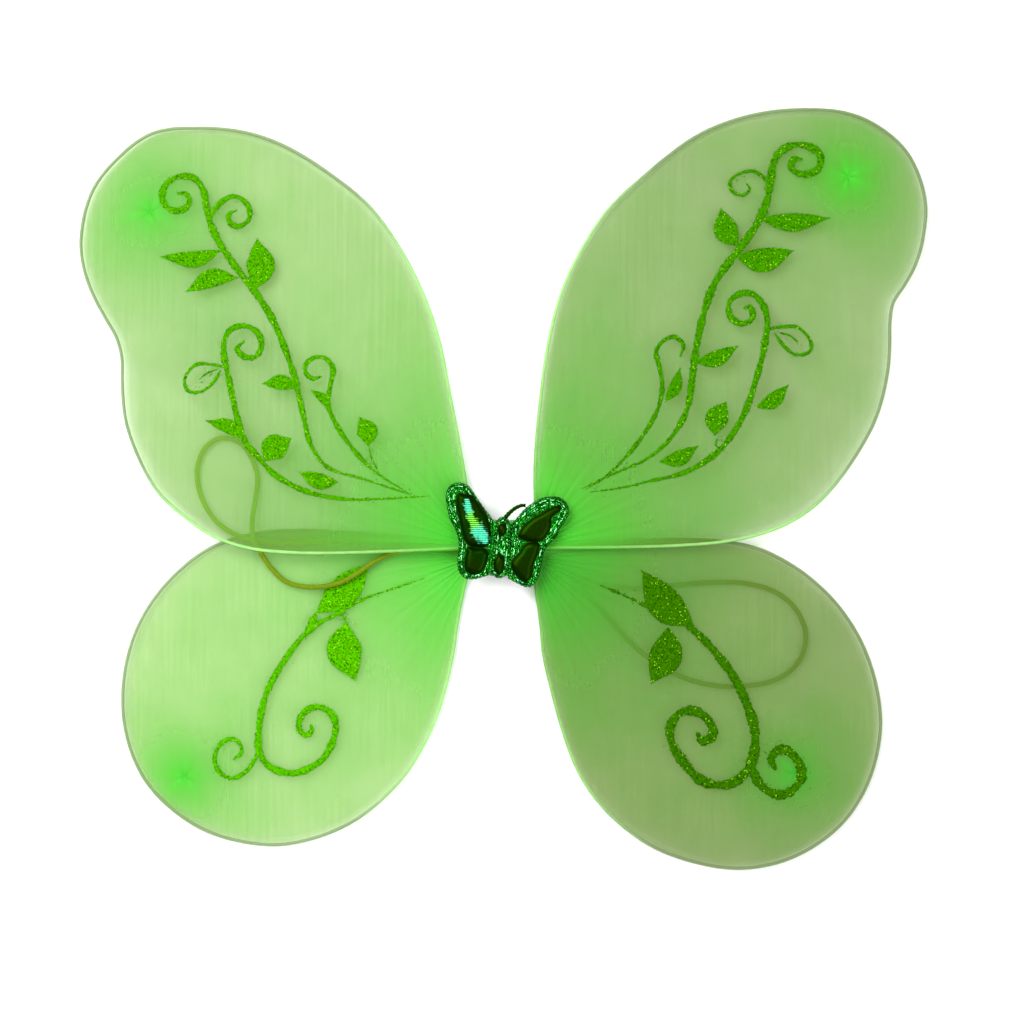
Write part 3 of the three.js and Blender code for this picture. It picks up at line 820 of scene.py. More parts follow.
def tip_knot(wing):
    """The closed end of the stocking, gathered behind the wing and tied off."""
    low, high = box_of(f"{wing.name}_tip_knot")
    top, depth = high[2] + 0.5, high[2] + 0.5 - low[2]
    profile = [(0.0, 1.9), (0.12, 1.5), (0.25, 1.25), (0.4, 1.8),
               (0.55, 2.5), (0.72, 2.9), (0.88, 3.1), (1.0, 2.4)]
    sides = 54
    angles = round_angles(sides)
    path = smooth([(reach, drop, 0) for drop, reach in profile], 0.25)
    folds = 0.5 * np.cos(9 * angles + wing.seed) + 0.3 * np.cos(14 * angles)
    rings = []
    for reach, drop, _ in path:
        wide = reach * (1 + 0.16 * min(1, drop * 1.4) * folds)
        ring = wing.knot + wide[:, None] * on_circle(angles)
        rings.append(np.column_stack([ring, np.full(sides, top - drop * depth)]))
    tuft = np.vstack(rings), rings_to_faces(len(path), sides)
    piece(f"{wing.name}_tip_tuft", tuft, LOOKS[f"{wing.name}_nylon"], wing.body,
          replaced=[f"{wing.name}_tip_knot"],
          attributes={"gather": np.ones(len(path) * sides)})
    turn = np.linspace(0, 3, 73)
    waist = wing.knot + 1.5 * on_circle(turn * math.tau)
    band = np.column_stack([waist, top - depth * (0.17 + 0.06 * turn)])
    piece(f"{wing.name}_tip_thread", tube(band, 0.28, 6), LOOKS["thread"], wing.body)


# ---------------------------------------------------------------- glitter vines
STEM_STEP = 0.8
FLAKES = 170                    # loose ones on each wing
# Each vine is a list of stems (width, points) and of leaves (base, tip, width, bend).
VINES = {
    "upper_left": {
        "stems": [
            (3.1, [(-52, 30.6), (-82.9, 40.6), (-103.5, 47.6), (-112.9, 60), (-117.6, 77.6), (-122.3, 98.2),
                (-125.8, 109.4), (-135.2, 132.9), (-144.6, 148.2), (-159.9, 168.2), (-168.2, 181.1),
                (-172.9, 191.7), (-175.2, 201.7), (-177, 210.5), (-182.3, 217.6), (-190.5, 218.7),
                (-198.2, 214.6), (-201.1, 207), (-198.2, 200.5), (-191.7, 198.2), (-185.2, 202.3),
                (-187, 208.2), (-192.3, 208.7)]),
            (3.1, [(-173.5, 191.7), (-171.1, 197.6), (-166.4, 203.4), (-158.8, 207), (-151.1, 202.3),
                (-149.9, 194), (-155.2, 189.3), (-161.1, 191.1), (-161.7, 196.4), (-157, 198.7)]),
            (2.8, [(-43.5, 30.6), (-75.3, 28.8), (-94.1, 28.8), (-116.4, 33.5), (-134.7, 43.5),
                (-144.6, 54.1), (-151.1, 61.7), (-155.8, 74.7), (-158.8, 87), (-161.7, 101.1),
                (-164.1, 112.3), (-164.1, 121.7), (-160.5, 128.2), (-152.3, 130.5), (-144.6, 126.4),
                (-142.3, 118.8), (-145.8, 112.3), (-152.3, 112.3), (-156.4, 117), (-152.3, 121.7)]),
            (1.9, [(-162.3, 105.8), (-171.1, 107.6), (-180.5, 107.6), (-187, 99.4), (-185.2, 92.3),
                (-177.6, 91.7), (-171.1, 96.4), (-165.8, 104.7)]),
            (1.3, [(-167, 105.3), (-174.6, 102.3), (-178.8, 98.8)]),
            (2.3, [(-55.3, 31.8), (-75.3, 44.7), (-87.6, 57), (-97, 70), (-101.7, 79.4), (-103.5, 85.3),
                (-101.7, 96.4), (-100.5, 105.8), (-105.3, 111.7), (-111.7, 111.7), (-116.4, 107.6),
                (-116.4, 102.9), (-111.7, 99.4), (-107, 101.1)]),
            (1.2, [(-73.5, 44.7), (-77.6, 52.9), (-79.4, 60)]),
        ],
        "leaves": [
            ((-147, 151.7), (-145.2, 182.3), 15.9, 0.1), ((-165.8, 175.2), (-202.3, 171.1), 9.4, -0.1),
            ((-156.4, 158.8), (-187, 150.5), 10.6, 0.12), ((-121.1, 94.1), (-141.7, 96.4), 8.8, 0.1),
            ((-140.5, 51), (-124.5, 64.5), 15, -0.1), ((-152.3, 63.5), (-174.6, 74.7), 8, 0.12),
            ((-101.7, 81.1), (-113.5, 92.9), 5.3, 0.1), ((-79.4, 60), (-84.7, 77), 11.8, 0.1),
            ((-97, 38.8), (-120, 44.7), 9.4, -0.1),
        ],
    },
    "upper_right": {
        "stems": [
            (3.5, [(45.3, 34.7), (68.2, 45.3), (80.6, 50.6), (92.9, 59.4), (101.7, 70), (107.6, 82.3),
                (110.5, 100), (112.3, 114.1), (115.8, 131.7), (121.1, 149.4), (126.4, 159.9),
                (142.3, 181.1), (149.4, 191.7), (154.6, 204), (157, 216.4), (158.8, 227), (163.5, 234),
                (172.3, 237.6), (181.1, 235.8), (186.4, 230.5), (184.6, 222.9), (175.8, 219.9),
                (169.3, 223.4), (170.5, 228.7), (175.8, 228.7)]),
            (2.0, [(155.2, 207), (154.6, 215.8), (147.6, 221.7), (140.5, 221.1), (133.5, 216.4),
                (134.1, 210.5), (140.5, 207.6), (144.6, 211.1), (142.9, 214.6)]),
            (3.0, [(50.6, 32.9), (68.2, 35.3), (85.8, 39.4), (103.5, 43.5), (117.6, 50.6), (128.2, 59.4),
                (137, 71.7), (142.3, 82.3), (147.6, 98.2), (151.1, 110.5), (153.5, 122.9), (154.6, 133.5),
                (151.7, 143.5), (145.8, 149.4), (138.8, 149.4), (132.3, 144.1), (133.5, 135.2),
                (140.5, 131.7), (145.8, 135.2), (144.6, 141.7), (140.5, 140.5)]),
            (2.1, [(153.5, 125.8), (157, 128.8), (163.5, 129.9), (172.3, 129.4), (179.9, 121.1),
                (179.3, 115.2), (171.1, 113.5), (163.5, 119.4), (158.8, 126.4)]),
            (1.5, [(161.7, 126.4), (167.6, 124.7), (172.3, 120.5)]),
            (2.1, [(47.6, 34.1), (61.2, 43.5), (73.5, 55.9), (84.1, 70), (91.1, 84.1), (92.9, 96.4),
                (91.1, 107), (89.4, 115.2), (92.9, 121.1), (100, 124.1), (105.3, 119.4), (103.5, 112.3)]),
            (1.2, [(126.4, 57.6), (124, 61), (125.8, 64.7)]),
        ],
        "leaves": [
            ((150, 194), (191.7, 194), 10.5, 0.06), ((137.6, 177.6), (127.5, 200), 13.5, -0.1),
            ((135.8, 172), (170.5, 175), 14, 0.12), ((111.7, 109.4), (137.6, 118.8), 9.4, 0.1),
            ((147.6, 82.3), (167, 95.8), 8.8, 0.1), ((123.5, 66), (130.5, 86), 12.9, -0.1),
            ((91.1, 50.6), (114.1, 60), 8.8, 0.1), ((94.1, 85.8), (103.5, 105.8), 7.1, 0.1),
        ],
    },
    "lower_left": {
        "stems": [
            (3.2, [(-47, -17.8), (-61.8, -22.8), (-83, -30.2), (-99.9, -39.7), (-108.4, -43.9),
                (-114.7, -48.7), (-120.6, -54.5), (-131.7, -69.9), (-139.1, -83.6), (-143.1, -97.4),
                (-144.6, -112.2), (-144.4, -118.5), (-142.3, -123.8), (-138, -128.6), (-130.6, -131.8),
                (-122.2, -132.3), (-113.7, -129.1), (-106.3, -123.8), (-101.5, -115.4), (-99.1, -106.9),
                (-99.9, -100.6), (-103.6, -95.8), (-108.9, -93.7), (-114.7, -94.7), (-119, -98.4),
                (-120.8, -103.7), (-120, -108), (-116.3, -110.1), (-113.2, -107.4), (-113.7, -103.7)]),
            (2.6, [(-144.4, -118.5), (-147.6, -126), (-152.8, -132.3), (-160.3, -135.5), (-167.1, -132.3),
                (-170.3, -125.4), (-168.7, -118), (-164, -113.3), (-158.7, -112.7), (-155, -115.9),
                (-155, -121.2), (-159.7, -124.4)]),
            (2.2, [(-96.8, -39.2), (-94.5, -41), (-93, -44.5)]),
            (4.2, [(-118, -52.5), (-113.5, -45), (-110.5, -37.6)]),
        ],
        "leaves": [((-110.8, -38.5), (-78.8, -8.3), 17.5, 0.04), ((-93.2, -43.5), (-87.6, -78.5), 20, 0.1)],
    },
    "lower_right": {
        "stems": [
            (4.4, [(56.4, -21.8), (70, -27.6), (84.1, -34.1), (97.6, -40), (108.2, -45.9), (118.2, -54.7),
                (127, -64.7), (135.8, -77), (142.3, -90.6), (147, -104.7), (147.6, -116.4), (144.6, -128.2),
                (135.8, -137.6), (125.2, -139.4), (114.7, -135.8), (106.4, -127), (99.4, -116.4),
                (97.6, -106.4), (102.9, -97.6), (111.7, -95.8), (120, -101.1), (122.9, -110),
                (116.4, -113.5), (113.5, -108.2)]),
            (5.2, [(145.8, -127), (148.8, -136.4), (155.2, -142.9), (162.9, -145.2), (169.9, -142.3),
                (175.2, -134.1), (171.7, -123.5), (163.5, -118.2), (157, -123.5), (159.9, -130.5)]),
        ],
        "leaves": [((111.7, -45.9), (80.6, -12.9), 19.5, -0.08), ((96.4, -46.5), (86.4, -80), 18.8, -0.1)],
    },
}


def stem(width, points):
    """A drawn line of glitter glue: thin and broken where it starts by the hub, fuller farther out."""
    line = smooth([(x, y, 0) for x, y in points], STEM_STEP)
    t = np.linspace(0, 1, len(line))
    along = t * STEM_STEP * len(line)
    ends = np.minimum(1, 0.35 + np.minimum(along, along[::-1]) / 9)
    uneven = 1 + 0.12 * np.sin(along / 3.1 + width) + chance.uniform(-0.22, 0.22, len(line))
    if abs(points[0][0]) < 60:
        ends = ends * np.interp(t, [0, 0.1, 0.3, 0.55, 1], [0.35, 0.5, 1.1, 1.3, 1.15])
        broken = np.clip(1.2 - t / 0.22, 0, 1) * (chance.random(len(line)) < 0.4)
        uneven = uneven * (1 - 0.7 * broken)
    return ribbon(line, width * ends * uneven, 0.45 * np.minimum(1, ends))


def leaf(base, tip, width, bend):
    """A filled leaf: round near its stalk, with a drawn-out tip and a shallow vein."""
    base, tip = np.array(base, float), np.array(tip, float)
    across = np.array([tip[1] - base[1], base[0] - tip[0]]) * bend
    near, far = base + 0.45 * (tip - base) + across, base + 0.8 * (tip - base) + 0.35 * across
    line = smooth([(*base, 0), (*near, 0), (*far, 0), (*tip, 0)], 0.7)
    t = np.linspace(0, 1, len(line))
    wide = width * np.sin(math.pi * t**0.92) ** 1.15 * 1.04
    wide = np.maximum(wide, 0.8) * (1 + chance.uniform(-0.04, 0.04, len(line)))
    return ribbon(line, wide, 0.5 * np.minimum(1, 0.3 + 2.5 * np.minimum(t, 1 - t)), across=13, groove=0.45)


def loose_flakes(lines, count):
    """Single six-sided flakes of glitter that landed beside the drawn lines."""
    parts = []
    corner = round_angles(6)
    for _ in range(count):
        line = lines[chance.integers(len(lines))]
        spot = line[chance.integers(len(line))] + chance.normal(0, 2.2, 2)
        size = chance.uniform(0.22, 0.4)
        turn, lean = chance.uniform(0, 1), chance.uniform(-0.25, 0.25, 2)
        hexagon = spot + size * on_circle(corner + turn)
        rise = 0.12 + (hexagon - spot) @ lean
        high = np.column_stack([hexagon, rise + 0.05])
        low = np.column_stack([hexagon, rise - 0.05])
        parts.append((np.vstack([high, low]), rings_to_faces(2, 6)))
    return merged(*parts)


def vine(wing):
    """The drawing in glitter glue on the front of a wing, laid on the nylon."""
    drawing = VINES[wing.name]
    parts = [stem(width, points) for width, points in drawing["stems"]]
    parts += [leaf(*facts) for facts in drawing["leaves"]]
    lines = [np.array(points, float) for _, points in drawing["stems"]]
    parts.append(loose_flakes([even(line, 1.0) for line in lines], FLAKES))
    points, faces = merged(*parts)
    points[:, 2] += wing.plane(points[:, :2]) + wing.height(points[:, :2])
    grain = chance.uniform(-0.07, 0.07, (len(points), 3))
    piece(f"{wing.name}_glitter_vine", (points + grain, faces), LOOKS[f"{wing.name}_glitter"], wing.body)


for wing in (Wing("upper_left", "left_wing", 1.0), Wing("upper_right", "right_wing", 2.0),
             Wing("lower_left", "lower_left_wing", 3.0), Wing("lower_right", "lower_right_wing", 4.0)):
    wing_wire(wing)
    nylon_pouch(wing)
    root_tie(wing)
    tip_knot(wing)
    vine(wing)


# ---------------------------------------------------------------- the hub
def felt_pad():
    """The felt square that rests on the wearer's back, with blanket stitches round its edge."""
    low, high = box_of("back_pad")
    corner, thick = 3.0, high[2] - low[2]
    half = high[:2] - corner
    arc = np.radians(np.arange(0, 91, 15))
    outline = np.vstack([
        half * [sx, sy] + corner * on_circle(arc + turn)
        for sx, sy, turn in ((1, 1, 0), (-1, 1, math.pi / 2), (-1, -1, math.pi), (1, -1, math.pi * 1.5))
    ])
    outline = even(np.vstack([outline, outline[:1]]), 0.8)[:-1]
    flat, faces, loop = filled(outline, grid_in(outline, 0.8, 0.5))
    edge = to_edge(flat, outline)[0]
    round_off = 0.45 * np.exp(-edge / 0.6) + 0.18 * np.exp(-(((edge - 2.2) / 0.5) ** 2))
    fuzz = 0.09 * bumps(flat, 0.9, 3)
    shape = two_faced(flat, faces, loop, high[2] - round_off + fuzz, low[2] + round_off + 0.09 + fuzz)
    piece("felt_back_pad", shape, LOOKS["felt"], "hub", replaced=["back_pad"])
    spots = even(np.vstack([outline, outline[:1]]), 3.2)[:-1]
    normals = outward(spots)
    stitches = []
    for spot, out in zip(spots, normals):
        inner, outer = spot - out * 2.2, spot + out * 0.25
        bend = spot - out * 0.7
        loop_path = [(*inner, thick - 0.1), (*bend, thick + 0.1), (*outer, thick / 2), (*bend, 0.12),
                     (*inner, 0.3)]
        stitches.append(tube(smooth(loop_path, 0.45), 0.2, 6))
    edge_run = np.column_stack([spots + normals * 0.3, np.full(len(spots), thick / 2)])
    stitches.append(tube(smooth(edge_run, 0.6, closed=True), 0.2, 6, closed=True))
    piece("felt_back_pad_stitches", merged(*stitches), LOOKS["thread"], "hub")


def tape_bundle():
    """Paper tape wound in overlapping turns round the bound wires, drawn in at both ends."""
    low, high = box_of("tape_wrap")
    centre, half = (low + high) / 2, (high - low) / 2
    sides, pitch, lap, drawn_in = 72, 5.2, 0.42, 2.2
    angles = round_angles(sides)
    rings = []

    def ring_at(x, half_y, half_z):
        return np.column_stack([np.full(sides, centre[0] + x), centre[1] + half_y * np.cos(angles),
                                centre[2] + half_z * np.sin(angles)])

    for x in np.linspace(-half[0], half[0], 61):
        step = (x / pitch + angles / math.tau) % 1.0
        ridge = lap * np.clip(step * 1.1, 0, 1) - lap
        crinkle = 0.12 * np.sin(angles * 31 + x * 2.2) * np.sin(x * 1.7 + angles * 5)
        end = max(0, abs(x) - (half[0] - drawn_in)) / drawn_in
        narrow = 1 - 0.3 * end**2
        rings.append(ring_at(x, half[1] * narrow + ridge + crinkle, half[2] * narrow + ridge + crinkle))
    closing = half * 0.35
    rings.insert(0, ring_at(-half[0] + 0.5, closing[1], closing[2]))
    rings.append(ring_at(half[0] - 0.5, closing[1], closing[2]))
    shape = np.vstack(rings), rings_to_faces(len(rings), sides)
    piece("wound_tape", shape, LOOKS["tape"], "hub", replaced=["tape_wrap", "binding_coil"])


def twisted_pair(name):
    """The two legs that run through the hub, twisted once round each other."""
    low, high = box_of(name)
    centre, half = (low + high) / 2, (high - low) / 2
    along = np.linspace(low[0], high[0], 50)
    ease = np.clip((half[0] - np.abs(along)) / 5, 0, 1)
    turn = math.pi * (along - low[0]) / (high[0] - low[0])
    turn = math.pi * np.round(turn / math.pi) * (1 - ease) + turn * ease
    spread = half[1] - WIRE_RADIUS
    parts = []
    for side in (-1, 1):
        path = np.column_stack([along, centre[1] + side * spread * np.cos(turn),
                                centre[2] + side * 0.95 * np.sin(turn)])
        parts.append(tube(path, WIRE_RADIUS * 0.98, WIRE_SIDES))
    piece(f"{name}_twisted", merged(*parts), LOOKS["wire"], "hub", replaced=[name])


LEG_FROM_MIDDLE = 1.3           # each of a wing's two legs, to either side of its tie
LEG_STATIONS = (11.4, 12.2, 13.3, 14.4, 15.6)


def legs_over_fold(side, wing, pair):
    """The wire between the hub and a wing."""
    low, high = box_of(pair)
    tie = middle_of(f"{wing}_root_tie")
    height = (low[2] + high[2]) / 2
    heights = (height, height, (height + tie[2]) / 2, tie[2], tie[2])
    parts = []
    for leg in (-LEG_FROM_MIDDLE, LEG_FROM_MIDDLE):
        path = smooth([(side * x, tie[1] + leg, z) for x, z in zip(LEG_STATIONS, heights)], 0.3)
        parts.append(tube(path, WIRE_RADIUS * 0.97, WIRE_SIDES))
    made = piece(f"{wing}_legs_at_hub", merged(*parts), LOOKS["wire"], None)
    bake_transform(made)


def glue_blob():
    """Hot glue squeezed out between the tape and the butterfly."""
    low, high = box_of("glue_pad")
    half = (high - low)[:2] / 2
    angles = round_angles(90)
    swell = 1 - 0.1 * np.abs(np.sin(3 * angles + 0.6)) - 0.05 * np.sin(7 * angles)
    squareness = 2.6
    powers = np.abs(np.cos(angles)) ** squareness + np.abs(np.sin(angles)) ** squareness
    corner = 1 / np.maximum(powers, 0.1) ** (1 / squareness)
    outline = half * on_circle(angles) * (swell * corner)[:, None]
    flat, faces, loop = filled(outline, grid_in(outline, 0.7, 0.4))
    edge = to_edge(flat, outline)[0]
    thick = (high - low)[2]
    round_off = thick * 0.42 * np.exp(-edge / 0.7)
    shape = two_faced(flat, faces, loop, high[2] - round_off, low[2] + round_off - 0.25 * np.exp(-edge / 2))
    piece("hot_glue", shape, LOOKS["glue"], "hub", replaced=["glue_pad"])


felt_pad()
tape_bundle()
glue_blob()
for wires in ("upper_wire_pair", "lower_wire_pair"):
    twisted_pair(wires)
for side, hand in ((-1, "left"), (1, "right")):
    legs_over_fold(side, f"upper_{hand}", "upper_wire_pair")
    legs_over_fold(side, f"lower_{hand}", "lower_wire_pair")


# ---------------------------------------------------------------- the foil butterfly
BUTTERFLY_CENTRE = np.array([-1.9, 0.6])
BUTTERFLY_TILT = math.radians(-5)
FOIL_BOTTOM = 15.1
FOIL_THICKNESS = 0.3            # of the strip at each seam
FOIL_STEP = 0.33                # between the points of a foil shape's edge
BEAD = 1.3                      # pitch of the beading pressed into the foil's edge
FIRST_BEADS = 0.65              # from the edge to the first row of beads
# The bright rows of dashes, set by DASH_ROWS and DASH, are painted highlights along the beaded edge.
DASH_ROWS = ((1.9, 1), (4.3, 0.8))      # bright rows: how far in, and how strong
EDGE_BAND = 4.2                 # how far in from the edge the beads stand in rows
SPECKLE = 1.25                  # pitch of the beads farther in, which stand crosswise
DASH = 2.1                      # pitch of the bright dashes
CELL_LINE = 0.5                 # a cell starts this far outside the line that is given for it
SEAM_X, SEAM_HALF = 5.0, 1.15
# The smooth puffed cells of each piece, in the butterfly's own axes.
CELLS = {
    "butterfly_left_flap": [
        [(-27.1, 28.2), (-23.1, 28.7), (-18.9, 27.3), (-13.7, 22.6), (-9.8, 16.9), (-7.6, 11.1), (-6.9, 5.2),
         (-7.2, 1.7), (-9.4, -0.3), (-14.4, -0.6), (-19.3, 0.6), (-22.1, 5.7), (-24.3, 11.6), (-25.8, 17.5),
         (-27.3, 22.8)],
        [(-18.7, -1.8), (-13.6, -2.1), (-9, -1.9), (-7.4, -4.1), (-7.6, -8.5), (-8.6, -12.7), (-11.1, -15.7),
         (-15.8, -16.3), (-18.8, -14.4), (-19.6, -9.7), (-19.3, -5.3)],
    ],
    "butterfly_right_flap": [
        [(31.1, 26.7), (32.6, 25.0), (29.9, 22.6), (27.6, 20.0), (27.7, 16.9), (27.4, 13.1), (25.6, 9.0),
         (22.7, 6.1), (18.0, 5.3), (13.4, 6.1), (10.3, 7.8), (11.0, 10.9), (13.7, 14.9), (17.6, 18.5),
         (21.9, 21.4), (26.3, 24.3), (29.2, 26.0)],
        [(13.7, 2.1), (17.7, 4.4), (21.8, 4), (21.6, -1.1), (20.5, -5.0), (19.4, -8.9), (19.3, -12.8),
         (18.4, -16.6), (16.3, -18.2), (13.1, -16.7), (9.8, -13.6), (7.3, -9.5), (8.4, -6.1),
         (11.5, -2.0)],
    ],
    "butterfly_body": [
        [(0, 13.6), (1.9, 12.4), (2.1, 9.6), (0.9, 7.4), (-0.9, 7.4), (-2.1, 9.6), (-1.9, 12.4)],
        [(-2.6, -7.9), (-0.5, -4.7), (2, -5.8), (2.5, -9.8), (2.1, -13.4), (0.5, -15.6), (-1.7, -13.8),
         (-2.6, -11)],
    ],
}
# The line of the painted highlight, a bright streak across the left flap, and half its width at each point.
PAINTED_HIGHLIGHT_LINE = [((-21.7, 24.7), 1.4), ((-20.2, 19.4), 1.8), ((-18.1, 14.8), 1.7), ((-14.6, 9.7), 3.0),
         ((-11.2, 5.4), 3.0), ((-9, 2.8), 1.4)]


def placed(points):
    """From the butterfly's own axes to the frame's."""
    points = np.asarray(points, float)
    c, s = math.cos(BUTTERFLY_TILT), math.sin(BUTTERFLY_TILT)
    turned = points.copy()
    turned[:, 0] = c * points[:, 0] - s * points[:, 1] + BUTTERFLY_CENTRE[0]
    turned[:, 1] = s * points[:, 0] + c * points[:, 1] + BUTTERFLY_CENTRE[1]
    return turned


def plate_outline(node):
    """The outline of a flat CAD plate, from the edges that border its top just once."""
    mesh = NODES[node].data
    top = max(v.co.z for v in mesh.vertices) - 0.0001
    place = [tuple(round(x / MM, 3) for x in v.co) for v in mesh.vertices]
    borders = set()
    for polygon in mesh.polygons:
        if all(mesh.vertices[i].co.z > top for i in polygon.vertices):
            ring = [place[i][:2] for i in polygon.vertices]
            for a, b in zip(ring, ring[1:] + ring[:1]):
                borders ^= {frozenset((a, b))}
    ahead = {}
    for edge in borders:
        a, b = edge
        ahead.setdefault(a, []).append(b)
        ahead.setdefault(b, []).append(a)
    start = min(ahead)
    walk, before = [start], None
    while True:
        following = sorted(p for p in ahead[walk[-1]] if p != before)
        if len(walk) > 2 and start in following:
            break
        before = walk[-1]
        walk.append(following[0])
    return np.array(walk)


def soft_outline(node, step):
    """A CAD plate's outline made smooth, but for its longest edge, the seam, which stays straight."""
    corners = plate_outline(node)
    runs = np.linalg.norm(np.roll(corners, -1, axis=0) - corners, axis=1)
    corners = np.roll(corners, -(int(runs.argmax()) + 1), axis=0)
    curve = smooth(corners, step)
    seam = even(np.array([curve[-1], curve[0]]), step)
    return np.vstack([curve, seam[1:-1]])


def depth_in_cells(name, flat):
    """How far each point lies inside the smooth cell it is deepest in, less than 0 outside them all."""
    deepest = np.full(len(flat), -9.0)
    for points in CELLS[name]:
        ring = placed(smooth(points, 0.8, closed=True))
        depth = to_edge(flat, ring)[0] * np.where(inside(flat, ring), 1, -1)
        deepest = np.maximum(deepest, depth + CELL_LINE)
    return deepest


def beading(flat, edge, place, cell):
    """The height of the pressed beads, from -1 to 1, and the rows of painted highlight dashes along the edge.
    """
    row = np.cos(math.tau * (edge - FIRST_BEADS) / BEAD)
    along_row = np.cos(math.tau * (place / BEAD + 0.5 * np.round((edge - FIRST_BEADS) / BEAD)))
    x, y = flat.T
    speckle = (np.cos(math.tau * x / SPECKLE + 1.1 * np.sin(y))
               * np.cos(math.tau * y / SPECKLE + 0.9 * np.sin(x)))
    near_edge = np.clip(EDGE_BAND - edge, 0, 1)
    beads = (near_edge * 0.5 * (row + along_row) + (1 - near_edge) * speckle) * np.clip(-cell / 0.6, 0, 1)
    dashes = np.clip(2 * np.cos(math.tau * place / DASH + 2 * bumps(flat, 3, 8)) + 0.6, 0, 1)
    rows = sum(share * np.exp(-(((edge - far) / 0.4) ** 2)) for far, share in DASH_ROWS)
    return beads, rows * dashes


def painted_highlight_on(flat, cell):
    """How bright the painted highlight streak is at each point, and how cyan rather than lime."""
    spots = placed([spot for spot, _ in PAINTED_HIGHLIGHT_LINE])
    run = even(np.column_stack([spots, [half for _, half in PAINTED_HIGHLIGHT_LINE]]), 0.5)
    away = np.linalg.norm(flat[:, None, :] - run[None, :, :2], axis=2) / run[:, 2]
    painted_highlight = np.exp(-((away.min(axis=1) * (1 + 0.6 * bumps(flat, 1.8, 6))) ** 2)) * (cell > 0)
    share = away.argmin(axis=1) / len(run) + 0.08 * bumps(flat, 3, 4)
    return painted_highlight, np.interp(share, [0.2, 0.32, 0.55, 0.68], [1, 0, 0, 1])


def foil_pad(name, body):
    """A puffed foil shape: a beaded edge, and smooth cells that swell between it."""
    outline = soft_outline(f"{name}_backing", FOIL_STEP)
    along = np.arange(len(outline)) * FOIL_STEP
    scallop = 0.6 * np.abs(np.sin(math.pi * along / (2 * BEAD))) - 0.4
    outline = outline + outward(outline) * scallop[:, None]
    flat, faces, loop = filled(outline, grid_in(outline, 0.36, 0.2))
    edge, place = to_edge(flat, outline)
    cell = depth_in_cells(name, flat)
    shoulder = 1.35 * np.sqrt(1 - (1 - np.clip(edge / 2.0, 0, 1)) ** 2)
    puff = 1.3 * (1 - np.exp(-((np.maximum(cell, 0) / 1.7) ** 2)))
    crease = -0.5 * np.exp(-((cell / 0.55) ** 2))
    beads, painted_glint = beading(flat, edge, place, cell)
    wrinkle = 0.12 * bumps(flat, 5, 2) + 0.03 * bumps(flat, 1.6, 4)
    smooth_share = np.clip(cell / 1.2, 0, 1)
    top = FOIL_BOTTOM + 1.0 + shoulder + puff + crease + 0.3 * beads + smooth_share * wrinkle
    bottom = np.full(len(flat), FOIL_BOTTOM) + 0.3 * np.exp(-edge / 0.5)
    # Where the painted highlight lies, and its colour, go to the foil look as attributes.
    painted_highlight, highlight_cyan = painted_highlight_on(flat, cell)
    on_top = {"painted_highlight": painted_highlight, "highlight_cyan": highlight_cyan, "bead": beads, "painted_glint": painted_glint}
    attributes = {title: np.append(values, np.zeros(len(flat))) for title, values in on_top.items()}
    made = piece(f"{name}_foil", two_faced(flat, faces, loop, top, bottom), LOOKS["foil"], body,
                 replaced=[name], attributes=attributes)
    made.data.materials.append(LOOKS["foil_edge"])
    depth = np.append(cell, cell)
    for polygon in made.data.polygons:
        if all(depth[i] < 0 for i in polygon.vertices):
            polygon.material_index = 1


def foil_backing(name, body):
    """The flat back of a foil shape, stitched close to its edge."""
    node = f"{name}_backing"
    low, high = box_of(node)
    outline = soft_outline(node, 0.5)
    flat, faces, loop = filled(outline, grid_in(outline, 0.7, 0.3))
    edge, place = to_edge(flat, outline)
    stitch = 0.14 * np.exp(-(((edge - 1.6) / 0.4) ** 2)) * (0.6 + 0.4 * np.cos(math.tau * place / 2))
    wave = 0.05 * bumps(flat, 4, 6)
    round_off = 0.12 * np.exp(-edge / 0.4)
    shape = two_faced(flat, faces, loop, high[2] - round_off + wave, low[2] + round_off + stitch + wave)
    piece(f"{name}_back", shape, LOOKS["foil"], body, replaced=[node])


def foil_seam(side, flap_body):
    """The thin strip of foil that joins the body to a flap."""
    along = np.arange(-15.4, 14.6, 0.5)
    offsets = np.linspace(-1, 1, 9)
    x = side * (SEAM_X + SEAM_HALF * offsets)
    rows = []
    for y in along:
        dip = FOIL_BOTTOM + 1.15 + 0.75 * offsets**2 + 0.12 * math.sin(y * 4.8)
        top = np.column_stack([x, np.full(len(x), y), dip])
        rows += [top, top[::-1] - [0, 0, FOIL_THICKNESS]]
    shape = placed(np.vstack(rows)), rings_to_faces(len(along), 2 * len(offsets))
    made = piece(f"foil_seam_{flap_body}", shape, LOOKS["foil_edge"], None)
    ends = placed([(side * 4.1, 0, 0), (side * 5.9, 0, 0)]) * MM
    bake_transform(made)


RIGHT_ANTENNA = [(1.2, 17.6), (3.4, 20.5), (6.4, 23.4), (9.6, 25.2), (12.4, 25.6)]


def antenna(name, points):
    """A narrow curled strip of foil."""
    path = placed([(x, y, 15.5) for x, y in points])
    line = smooth(path, 0.4)
    t = np.linspace(0, 1, len(line))
    shape = ribbon(line, 2.5 * (1 - 0.2 * t) * (1 + 0.1 * np.sin(40 * t)), 0.9 * (1 - 0.3 * t), across=9)
    piece(f"{name}_strip", shape, LOOKS["foil"], "hub", replaced=[name])


foil_pad("butterfly_body", "hub")
foil_backing("butterfly_body", "hub")
for side, hand in ((-1, "left"), (1, "right")):
    foil_pad(f"butterfly_{hand}_flap", f"{hand}_flap")
    foil_backing(f"butterfly_{hand}_flap", f"{hand}_flap")
    foil_seam(side, f"{hand}_flap")
antenna("right_antenna", RIGHT_ANTENNA)


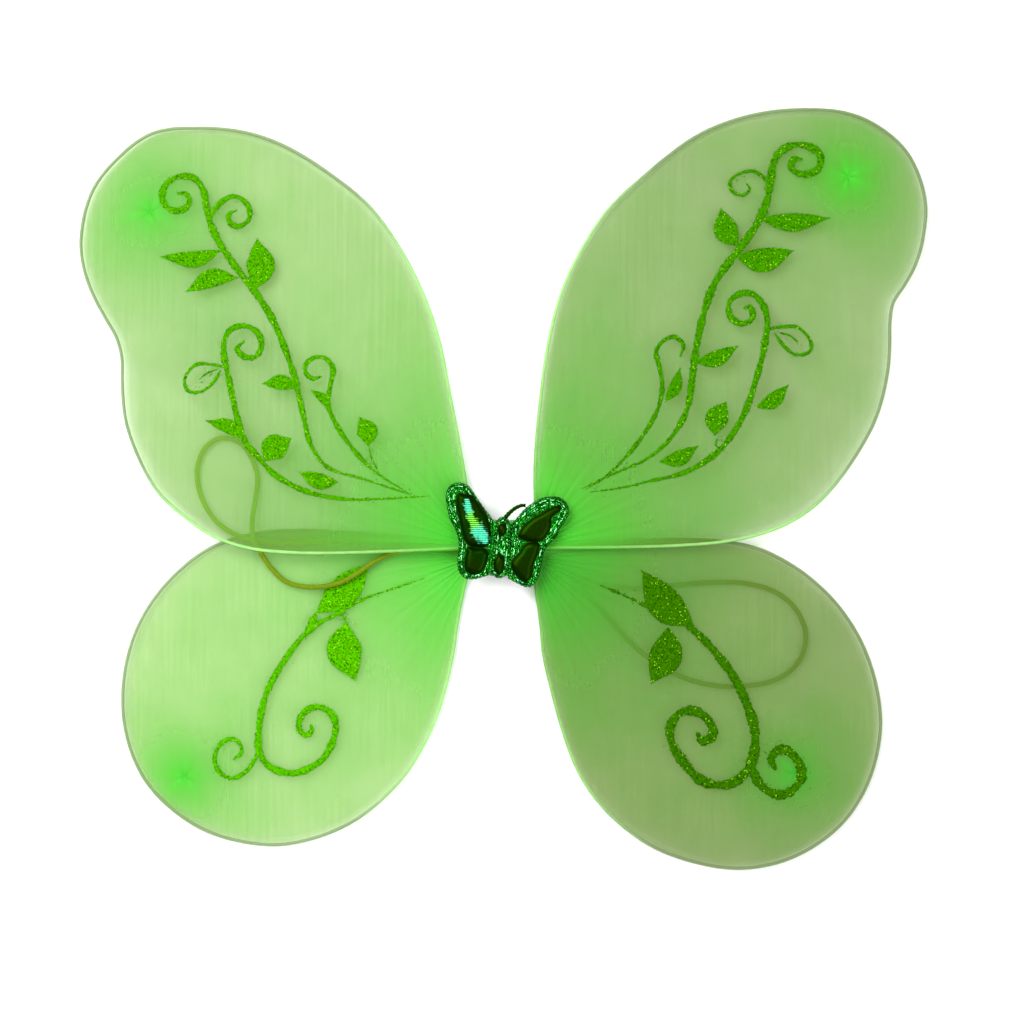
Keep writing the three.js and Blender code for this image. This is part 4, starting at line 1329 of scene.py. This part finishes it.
# ---------------------------------------------------------------- floor and light
def floor():
    """A wide pale floor, just under the part."""
    mesh = bpy.data.meshes.new("floor")
    reach, height = 12, -0.0004
    corners = [(x * reach, y * reach, height) for x, y in ((-1, -1), (1, -1), (1, 1), (-1, 1))]
    mesh.from_pydata(corners, [], [(0, 1, 2, 3)])
    look = Look("floor", (0.97, 0.97, 0.97), 0.9)
    look.surface({"Specular IOR Level": 0.1})
    mesh.materials.append(look.material)
    made = bpy.data.objects.new("floor", mesh)
    bpy.context.collection.objects.link(made)


def softbox(name, place, size, power):
    """A rectangular light, in metres and watts, that faces the middle of the part."""
    data = bpy.data.lights.new(name, "AREA")
    data.shape = "RECTANGLE"
    data.size, data.size_y = size
    data.energy = power
    made = bpy.data.objects.new(name, data)
    made.location = place
    made.rotation_mode = "QUATERNION"
    made.rotation_quaternion = Vector(place).to_track_quat("Z", "Y")
    bpy.context.collection.objects.link(made)


def sky():
    """Soft even light that is dimmer straight above than near the horizon."""
    world = bpy.data.worlds.new("studio")
    bpy.context.scene.world = world
    world.use_nodes = True
    tree = world.node_tree
    place = tree.nodes.new("ShaderNodeTexCoord").outputs["Generated"]
    axes = tree.nodes.new("ShaderNodeSeparateXYZ")
    tree.links.new(place, axes.inputs[0])
    ramp = tree.nodes.new("ShaderNodeValToRGB")
    ramp.color_ramp.elements[0].position = 0.0
    ramp.color_ramp.elements[0].color = (1.0, 1.0, 1.0, 1)
    ramp.color_ramp.elements[1].position = 0.85
    ramp.color_ramp.elements[1].color = (0.16, 0.17, 0.17, 1)
    tree.links.new(axes.outputs["Z"], ramp.inputs[0])
    background = tree.nodes["Background"]
    tree.links.new(ramp.outputs[0], background.inputs["Color"])
    background.inputs["Strength"].default_value = 1.0


floor()
sky()
softbox("key", (-1.1, 0.8, 1.8), (1.8, 1.8), 52)
softbox("fill", (1.2, -0.7, 1.7), (1.8, 1.8), 32)
softbox("streak", (-0.42, 0.62, 1.0), (0.25, 0.6), 5)
bpy.context.scene.view_settings.view_transform = "Standard"
